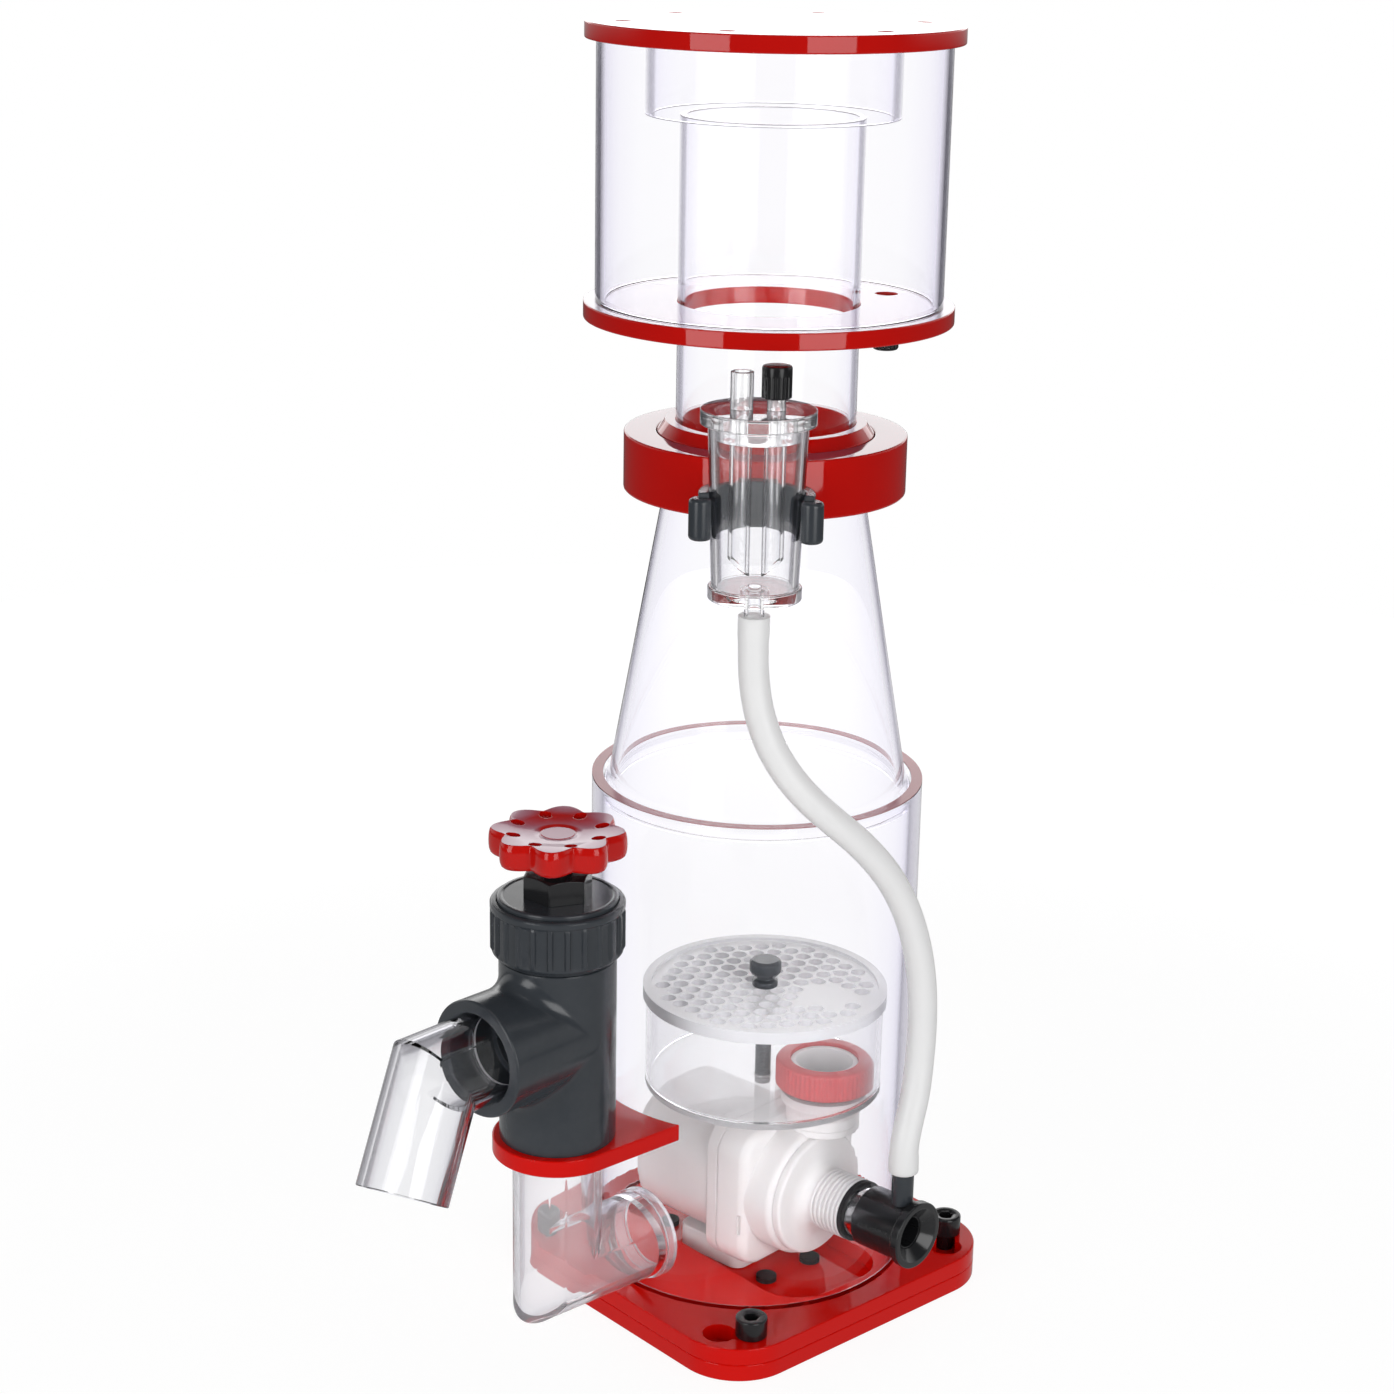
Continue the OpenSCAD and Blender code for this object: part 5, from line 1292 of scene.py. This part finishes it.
blockSet = {
    "box": (68.6, 64.6, 13, 12), "sink": 2,
    "rows": [
        (0.9, 3), (0.3, 3.25), (0, 3.9), (0, 9.4), (0.6, 9.6), (0.6, 10.1), (0, 10.3), (0, 22.2), (0.3, 23.6),
        (1, 25), (2.2, 26.3), (4.2, 27),
    ],
    "chamber": [(0, 20), (31, 20), (31, 41, 3.6), (0, 41)],
    "foot": [(0, 60), (17, 60), (17, 85), (0, 85)],
    "front": (60, 80, 1, 2), "frontAt": 0.7, "frontCut": (41, 60),
    "hollow": [(0, 2), (13, 2), (13, 24), (25, 24), (25, 42), (0, 42)],
    "groove": (25.05, 22.95, 0, 5),
    "outlet": 13, "outletCut": (84.3, 120),
    "passage": (22.5, 20, 9, 8), "passageAt": -8.75, "passageCut": (70, 85),
    "notch": (1.4, 3, 0.4, 3), "notchAt": (23.4, -32.4, 0), "notchCut": (35, 45),
}
blockOutline = roundedBox(*blockSet["box"])
blockShape = loft([(inset(blockOutline, amount), u) for amount, u in blockSet["rows"]])
chamberShape = spun(blockSet["chamber"], 0.3, 128, 5)
footShape = spun(blockSet["foot"], 0.2, 96, 2)
notchShape = slab(roundedBox(*blockSet["notch"]), *blockSet["notchCut"], 0.1, 1)
passageShape = plug(roundedBox(*blockSet["passage"]), *blockSet["passageCut"])
piece(
    "pumpBlock", [(blockShape, pumpAt @ move(blockSet["sink"], 0, 0))], "white_plastic", "pump_volute",
    joined=[(chamberShape, pumpAt), (footShape, outletAt)],
    cutters=[
        (plug(roundedBox(*blockSet["front"]), *blockSet["frontCut"]), pumpAt @ move(blockSet["frontAt"], 0, 0)),
        (turned(blockSet["hollow"], 96, closed=False), pumpAt),
        (ringTube(*blockSet["groove"], 0.01, 96), pumpAt),
        (plug(circle(blockSet["outlet"], 96), *blockSet["outletCut"]), outletAt),
        (passageShape, outletAt @ move(blockSet["passageAt"], 0, 0)),
        (notchShape, pumpTurn @ move(*blockSet["notchAt"])),
    ],
)
towerSet = {
    "profile": [
        (13, 85), (17, 85), (17, 90, 2), (19.5, 94, 1), (19.5, 98.4), (15.5, 98.4), (15.5, 114.5, 0.5),
        (13, 114.5, 0.5),
    ],
    "edge": 0.2,
}
towerShape = turned(softened(towerSet["profile"], towerSet["edge"]), 96)
piece("outletTower", [(towerShape, outletAt)], "white_plastic", "outlet_tower")
standSet = {"back": -24.6, "front": 14.6, "width": 43.2, "low": 8.4, "high": 20, "corner": 6}
standLong = standSet["front"] - standSet["back"]
standOutline = roundedBox(standLong, standSet["width"], standSet["corner"], 8)
standAt = pumpTurn @ move((standSet["front"] + standSet["back"]) / 2, 0, 0)
piece(
    "pumpStand", [(slab(standOutline, standSet["low"], standSet["high"], 0.6), standAt)],
    "white_plastic", "pump_foot",
)
coverSet = {
    "flange": [(10, 41), (29, 41), (29, 45, 3.4), (21.5, 45, 2)],
    "flare": ((21.5, 45), (14.7, 45.2), (13.5, 49.9)), "flareSteps": 6,
    "ridges": 7, "root": 13.4, "tip": 14.4, "soft": 0.15, "from": 49.9, "to": 66.4,
    "bore": [(11.95, 66.4), (11.95, 50), (10, 50)],
    "hub": (5.5, 4.05, 41, 45),
    "spokes": 3, "spoke": (5.6, 2.4, 0.4, 3), "spokeHigh": (41.2, 44.8), "spokeAt": 7.7,
}
coverLoop = softened(coverSet["flange"], 0.4, 5, closed=False)
(wide, wideHigh), (bend, bendHigh), (slim, slimHigh) = coverSet["flare"]
for i in range(1, coverSet["flareSteps"] + 1):
    t = i / coverSet["flareSteps"]
    first, middle, last = (1 - t) ** 2, 2 * t * (1 - t), t ** 2
    radius = first * wide + middle * bend + last * slim
    coverLoop.append((radius, first * wideHigh + middle * bendHigh + last * slimHigh))
ridgePitch = (coverSet["to"] - coverSet["from"]) / coverSet["ridges"]
ridgeRoot, ridgeTip = coverSet["root"], coverSet["tip"]
ridgeSide = ridgeTip - coverSet["soft"]
ridgeShape = [
    (ridgeRoot, 0.3), (ridgeSide, 0.42), (ridgeTip, 0.52), (ridgeTip, 0.78), (ridgeSide, 0.88),
    (ridgeRoot, 0.99),
]
for i in range(coverSet["ridges"]):
    u = coverSet["from"] + i * ridgePitch
    coverLoop += [(radius, u + share * ridgePitch) for radius, share in ridgeShape]
coverLoop += coverSet["bore"]
spokeShape = slab(roundedBox(*coverSet["spoke"]), *coverSet["spokeHigh"], 0.2)
coverParts = [(turned(coverLoop, 128), pumpAt), (ringTube(*coverSet["hub"], 0.3, 48), pumpAt)]
for k in range(coverSet["spokes"]):
    spokeAt = pumpAt @ turn(360 / coverSet["spokes"] * k) @ move(coverSet["spokeAt"], 0, 0)
    coverParts.append((spokeShape, spokeAt))
piece("inletCover", coverParts, "white_plastic", "inlet_cover")
outletNutSet = {"rib": (22.3, 0.45, 60, 0.55, 0.25), "count": 720}
outletNutRib = ribbed(*outletNutSet["rib"])
outletNutLoop = [
    (15.57, 103.3), (15.9, 103), (21.4, 103), (outletNutRib, 103.8), (outletNutRib, 114.2), (21.6, 115.3),
    (20.6, 116), (16, 116), (15.57, 115.6),
]
piece("outletNut", [(turned(outletNutLoop, outletNutSet["count"]), outletAt)], "nutRed", "outlet_nut")
print("pump done")

# venturi
venturiSet = {
    "barrel": [(7, 50), (11.9, 50), (11.9, 75.3), (14, 75.3, 0.6), (14, 98.6, 0.4), (7, 98.6)],
    "mouth": [(7, 98.6, 0.4), (14, 98.6), (15.6, 99.6, 0.6), (15.6, 103.5, 0.7), (12.8, 103.5, 0.5)],
    "barb": [
        (0, 62), (5, 62), (5, 82, 0.3), (3.6, 82), (3.6, 83), (4.25, 84.2), (3.9, 87.4), (4.25, 88.2),
        (3.9, 91), (4.25, 91.8), (3.6, 94), (0, 94),
    ],
    "barbAt": 93.5, "bore": 2.8, "boreCut": (52.5, 96),
    "core": [(0, 40), (13.9, 40), (13.9, 120), (0, 120)],
}
barbAt = pumpTurn @ move(venturiSet["barbAt"], 0, 0)
barbBore = (plug(circle(venturiSet["bore"], 32), *venturiSet["boreCut"]), barbAt)
piece(
    "venturiBarrel", [(turned(softened(venturiSet["barrel"], 0.3), 128), pumpAt)], "venturiBlack", "venturi",
    cutters=[barbBore],
)
mouthShape = turned(softened(venturiSet["mouth"], 0.4), 128)
piece("venturiMouth", [(mouthShape, pumpAt)], "venturiBlack", body="skimmer")
piece(
    "venturiBarb", [(spun(venturiSet["barb"], 0.2, 64, 2), barbAt)], "dark_pvc", body="skimmer",
    cutters=[barbBore, (turned(venturiSet["core"], 128, closed=False), pumpAt)],
)

# bubble plate drum
drumSet = {
    "wall": (55, 52.5, 103.05, 143), "floor": (55, 3.82, 100, 103),
    "knob": [
        (0, 147), (5.9, 147, 0.5), (5.9, 149.8, 0.9), (3.7, 150.6), (3.7, 151.6), (6.4, 153, 1.4),
        (7.4, 154.6, 1), (7.4, 158.8, 1.2), (6.2, 160, 0.9), (0, 160),
    ],
    "rod": 3.75, "rodRoot": 3.4, "rodLow": 96.5, "rodHigh": 147, "pitch": 1.3, "hole": 15.55,
    "holeCut": (95, 110),
}
piece(
    "drumFloor", [(ringTube(*drumSet["floor"], 0.5, 160), drumAt)], "drumBase", "diffuser_drum",
    cutters=[(plug(circle(drumSet["hole"], 96), *drumSet["holeCut"]), outletAt)],
)
piece(
    "drumWall", [(ringTube(*drumSet["wall"], 0.4, 160), drumAt)], "clearDrum",
    body=cadNodes["diffuser_drum"]["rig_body"],
)
rodLow, rodHigh = drumSet["rodLow"], drumSet["rodHigh"]
rodRoot, rodTip = drumSet["rodRoot"], drumSet["rod"]
rodLoop = [(0, rodLow), (2.2, rodLow), (3, rodLow + 0.25)]
for i in range(int((rodHigh - rodLow) / drumSet["pitch"])):
    z = rodLow + drumSet["pitch"] * (i + 0.2)
    rodLoop += [(rodRoot, z), (rodTip, z + 0.4), (rodTip, z + 0.6), (rodRoot, z + 1)]
rodLoop += [(3.3, rodHigh), (0, rodHigh)]
piece("plateRod", [(turned(rodLoop, 48, closed=False), drumAt)], "dark_pvc", "plate_rod")
piece("plateKnob", [(spun(drumSet["knob"], 0.5, 96, 4), drumAt)], "dark_pvc", "plate_knob")
print("drum done")

# silencer
silencerSet = {
    "body": [
        (2.8, 336), (4.25, 336, 0.3), (4.25, 352.2), (6, 352.2, 0.8), (6, 355.7), (19.6, 355.7, 0.8),
        (19.6, 361, 0.6), (18.2, 361), (20.7, 428.7), (18.2, 428.7), (15.7, 361), (2.8, 361),
    ],
    "lid": [(0, 422.7), (17.6, 422.7), (17.6, 428.7), (23.8, 428.7), (23.8, 434.8), (0, 434.8)],
    "stubs": [(-1, 4.75, 450, 3.35), (1, 3.9, 447.3, 2.5)], "stubAway": 7, "stubLow": 430,
    "socket": (4.65, 431.7), "boreCut": (420, 455),
    "tube": (4.6, 3.2, 369.2, 431.7), "lean": 0.869,
    "cap": (6.2, 439.3, 452.7, 3.97), "capRib": 0.4, "capRibs": 18, "ribHigh": 448.3, "capRoof": 448.5,
}
jarShape = turned(softened(silencerSet["body"], 0.3), 128)
piece("silencerBody", [(jarShape, silencerAt)], "clearJar", "silencer_body")
socket, roof = silencerSet["socket"]
stubLow = silencerSet["stubLow"]
boreLow, boreHigh = silencerSet["boreCut"]
stubShapes, stubBores, tubeShapes = [], [], []
for side, outer, top, bore in silencerSet["stubs"]:
    stubAt = silencerAt @ move(0, side * silencerSet["stubAway"], 0)
    stubLoop = [(0, stubLow), (outer, stubLow), (outer, top, 0.5), (0, top)]
    boreLoop = [
        (0, boreLow), (socket, boreLow), (socket, roof), (bore, roof), (bore, boreHigh), (0, boreHigh),
    ]
    stubShapes.append((spun(stubLoop, 0.2, 64), stubAt))
    stubBores.append((turned(boreLoop, 64, closed=False), stubAt))
    tubeLean = (0, side * silencerSet["lean"])
    tubeShapes.append((mitredPipe(*silencerSet["tube"], tubeLean, (0, 0), 64), stubAt))
piece(
    "silencerLid", [(spun(silencerSet["lid"], 0.5, 128), silencerAt)], "clearLid", "silencer_lid",
    joined=stubShapes, cutters=stubBores,
)
piece("silencerTubes", tubeShapes, "clearJar", "silencer_tubes")
capOuter, airLow, airHigh, airBore = silencerSet["cap"]
ribHigh, airRoof = silencerSet["ribHigh"], silencerSet["capRoof"]
airRib = ribbed(capOuter, silencerSet["capRib"], silencerSet["capRibs"], 0.6)
airLoop = [
    (airBore, airLow), (capOuter - 0.8, airLow), (airRib, airLow + 0.5), (airRib, ribHigh),
    (capOuter, ribHigh + 0.5), (capOuter, airHigh - 0.9), (capOuter - 0.4, airHigh - 0.2),
    (capOuter - 1.1, airHigh), (0, airHigh), (0, airRoof), (airBore, airRoof),
]
piece(
    "airCap", [(turned(airLoop, 216), silencerAt @ move(0, silencerSet["stubAway"], 0))], "capBlack",
    "air_cap",
)

clipSet = {
    "inner": 19.9, "outer": 24.1, "gap": 78, "lobe": 4.9, "lobeAt": 23.2, "block": (8, 22, 1.5),
    "blockAt": -24.5, "low": 380.8, "high": 400.4, "lobeHigh": 398.4, "collar": 62.05,
    "collarCut": (370, 410), "steps": 48,
}
clipStart, clipArc = math.radians(clipSet["gap"]), math.radians(360 - 2 * clipSet["gap"])
clipAngles = [clipStart + clipArc * k / clipSet["steps"] for k in range(clipSet["steps"] + 1)]
clipInner, clipOuter = clipSet["inner"], clipSet["outer"]
clipOutline = [(clipOuter * math.cos(a), clipOuter * math.sin(a)) for a in clipAngles]
clipOutline += [(clipInner * math.cos(a), clipInner * math.sin(a)) for a in reversed(clipAngles)]
clipLow, clipHigh = clipSet["low"], clipSet["high"]
clipLobe = slab(circle(clipSet["lobe"]), clipLow, clipSet["lobeHigh"], 1.8, 5)
clipBlock = slab(roundedBox(*clipSet["block"], 4), clipLow, clipHigh, 0.8)
clipJoined = [(clipBlock, silencerAt @ move(clipSet["blockAt"], 0, 0))]
for side in (-1, 1):
    clipJoined.append((clipLobe, silencerAt @ turn(side * clipSet["gap"]) @ move(clipSet["lobeAt"], 0, 0)))
piece(
    "silencerClip", [(slab(clipOutline, clipLow, clipHigh, 0.7), silencerAt)], "dark_pvc", "silencer_clip",
    joined=clipJoined, cutters=[(plug(circle(clipSet["collar"], 192), *clipSet["collarCut"]), here)],
)
print("silencer done")

# every CAD node that still shows takes its finish from the record's slot
cadVariants = {"bubble_plate": "frosted"}
slotOf = {entry["node"]: entry["material_slot"] for entry in frame["record"]["subparts"]}
for name, obj in cadNodes.items():
    if obj.hide_render:
        continue
    obj.data.materials.clear()
    finish = variants[cadVariants[name]][1] if name in cadVariants else finishes[slotOf[name]]
    obj.data.materials.append(finish)
    if slotOf[name] == "clear_acrylic":
        obj.visible_shadow = False
print("finishes on the nodes that stay")

# floor and light
floorSet = {
    "radius": 1.3, "count": 96, "colour": (0.12, 0.12, 0.12, 1), "near": 0.92, "far": 1.0,
    "fade": (0.35, 1.0), "shade": 0.42, "mirrored": 0.4, "rough": 0.9, "drop": 0.0005,
}
floorMesh = bpy.data.meshes.new("floor")
floorEdge = circle(floorSet["radius"], floorSet["count"])
floorMesh.from_pydata([(x, y, 0) for x, y in floorEdge], [], [tuple(range(floorSet["count"]))])
floor = bpy.data.objects.new("floor", floorMesh)
floor.location = (0, 0, -floorSet["drop"])
scene.collection.objects.link(floor)


# what the camera sees, also through clear walls and in glossy ones, and what only shines in a glossy one
def seenDirectly(tree):
    path = addNode(tree, "ShaderNodeLightPath")
    glossy, through = path.outputs["Is Glossy Ray"], path.outputs["Is Transmission Ray"]
    shown = calc(tree, "MAXIMUM", path.outputs["Is Camera Ray"], glossy)
    shown = calc(tree, "MAXIMUM", shown, through)
    first = calc(tree, "LESS_THAN", path.outputs["Diffuse Depth"], 0.5)
    return calc(tree, "MULTIPLY", shown, first), calc(tree, "SUBTRACT", glossy, through, clamp=True)


floorMaterial, floorTree, floorShader = newMaterial("floorPaper")
floorShader.inputs["Base Color"].default_value = floorSet["colour"]
floorShader.inputs["Roughness"].default_value = floorSet["rough"]
floorShader.inputs["Specular IOR Level"].default_value = 0
floorShader.inputs["Emission Color"].default_value = (1, 1, 1, 1)
floorSeen, floorMirrored = seenDirectly(floorTree)
floorCoord = addNode(floorTree, "ShaderNodeTexCoord")
floorAway = addNode(floorTree, "ShaderNodeVectorMath", {0: floorCoord.outputs["Object"]}, operation="LENGTH")
floorWhite = addNode(
    floorTree, "ShaderNodeMapRange",
    {
        "Value": floorAway.outputs["Value"], "From Min": floorSet["fade"][0], "From Max": floorSet["fade"][1],
        "To Min": floorSet["near"], "To Max": floorSet["far"],
    },
    interpolation_type="SMOOTHSTEP",
)
floorShiny = addNode(
    floorTree, "ShaderNodeMix", {0: floorMirrored, 2: floorWhite.outputs["Result"], 3: floorSet["mirrored"]},
)
floorGlow = addNode(
    floorTree, "ShaderNodeMix", {0: floorSeen, 2: floorSet["shade"], 3: floorShiny.outputs[0]},
)
floorTree.links.new(floorGlow.outputs[0], floorShader.inputs["Emission Strength"])
floorMesh.materials.append(floorMaterial)

# glossy surfaces see a white sweep behind the object, low over the floor, and a dim room elsewhere
worldSet = {
    "ambient": 0.27, "seen": 1.0, "dim": 0.1, "rise": (-0.1, 0.0), "sweepLow": 0.24, "sweepHigh": 0.5,
    "bearing": 137, "side": (-0.25, 0.25),
}
world = bpy.data.worlds.new("studio")
scene.world = world
world.use_nodes = True
worldTree = world.node_tree
sky = worldTree.nodes["Background"]
sky.inputs["Color"].default_value = (1, 1, 1, 1)
worldSeen, worldMirrored = seenDirectly(worldTree)
worldCoord = addNode(worldTree, "ShaderNodeTexCoord")
worldSplit = addNode(worldTree, "ShaderNodeSeparateXYZ", {"Vector": worldCoord.outputs["Generated"]})
worldLow = addNode(
    worldTree, "ShaderNodeMapRange",
    {
        "Value": worldSplit.outputs["Z"], "From Min": worldSet["sweepLow"], "From Max": worldSet["sweepHigh"],
        "To Min": 1, "To Max": 0,
    },
    interpolation_type="SMOOTHSTEP",
)
sweepWay = math.radians(worldSet["bearing"])
worldBack = addNode(
    worldTree, "ShaderNodeVectorMath",
    {0: worldCoord.outputs["Generated"], 1: (math.cos(sweepWay), math.sin(sweepWay), 0)},
    operation="DOT_PRODUCT",
)
worldBehind = addNode(
    worldTree, "ShaderNodeMapRange",
    {"Value": worldBack.outputs["Value"], "From Min": worldSet["side"][0], "From Max": worldSet["side"][1]},
    interpolation_type="SMOOTHSTEP",
)
worldRise = addNode(
    worldTree, "ShaderNodeMapRange",
    {"Value": worldSplit.outputs["Z"], "From Min": worldSet["rise"][0], "From Max": worldSet["rise"][1]},
    interpolation_type="SMOOTHSTEP",
)
worldBand = calc(worldTree, "MULTIPLY", worldLow.outputs["Result"], worldRise.outputs["Result"])
worldSweep = calc(worldTree, "MULTIPLY", worldBand, worldBehind.outputs["Result"])
worldShiny = addNode(worldTree, "ShaderNodeMix", {0: worldSweep, 2: worldSet["dim"], 3: worldSet["seen"]})
worldGlossy = addNode(
    worldTree, "ShaderNodeMix", {0: worldMirrored, 2: worldSet["seen"], 3: worldShiny.outputs[0]},
)
worldLevel = addNode(
    worldTree, "ShaderNodeMix", {0: worldSeen, 2: worldSet["ambient"], 3: worldGlossy.outputs[0]},
)
worldTree.links.new(worldLevel.outputs[0], sky.inputs["Strength"])

lampSet = {
    "leftBox": {"bearing": -81, "away": 1.6, "high": 0.55, "size": (0.68, 1.1), "glow": 3.58},
    "rightBox": {"bearing": -10, "away": 1.6, "high": 0.55, "size": (0.84, 1.1), "glow": 3.4},
    "backPanel": {"bearing": 137, "away": 2.2, "high": 0.86, "size": (3.2, 0.7), "glow": 1.4},
    "topBox": {"bearing": 100, "away": 0.3, "high": 2.0, "size": (1.0, 1.0), "glow": 1.3},
}
aimAt = Vector((0, 0, 0.33))
for name, lamp in lampSet.items():
    bearing = math.radians(lamp["bearing"])
    place = Vector((lamp["away"] * math.cos(bearing), lamp["away"] * math.sin(bearing), lamp["high"]))
    data = bpy.data.lights.new(name, "AREA")
    data.shape = "RECTANGLE"
    data.size, data.size_y = lamp["size"]
    data.energy = lamp["glow"] * math.pi * data.size * data.size_y
    light = bpy.data.objects.new(name, data)
    light.location = place
    light.rotation_mode = "QUATERNION"
    light.rotation_quaternion = (aimAt - place).to_track_quat("-Z", "Y")
    light.visible_camera = False
    scene.collection.objects.link(light)
print("floor and lights done")
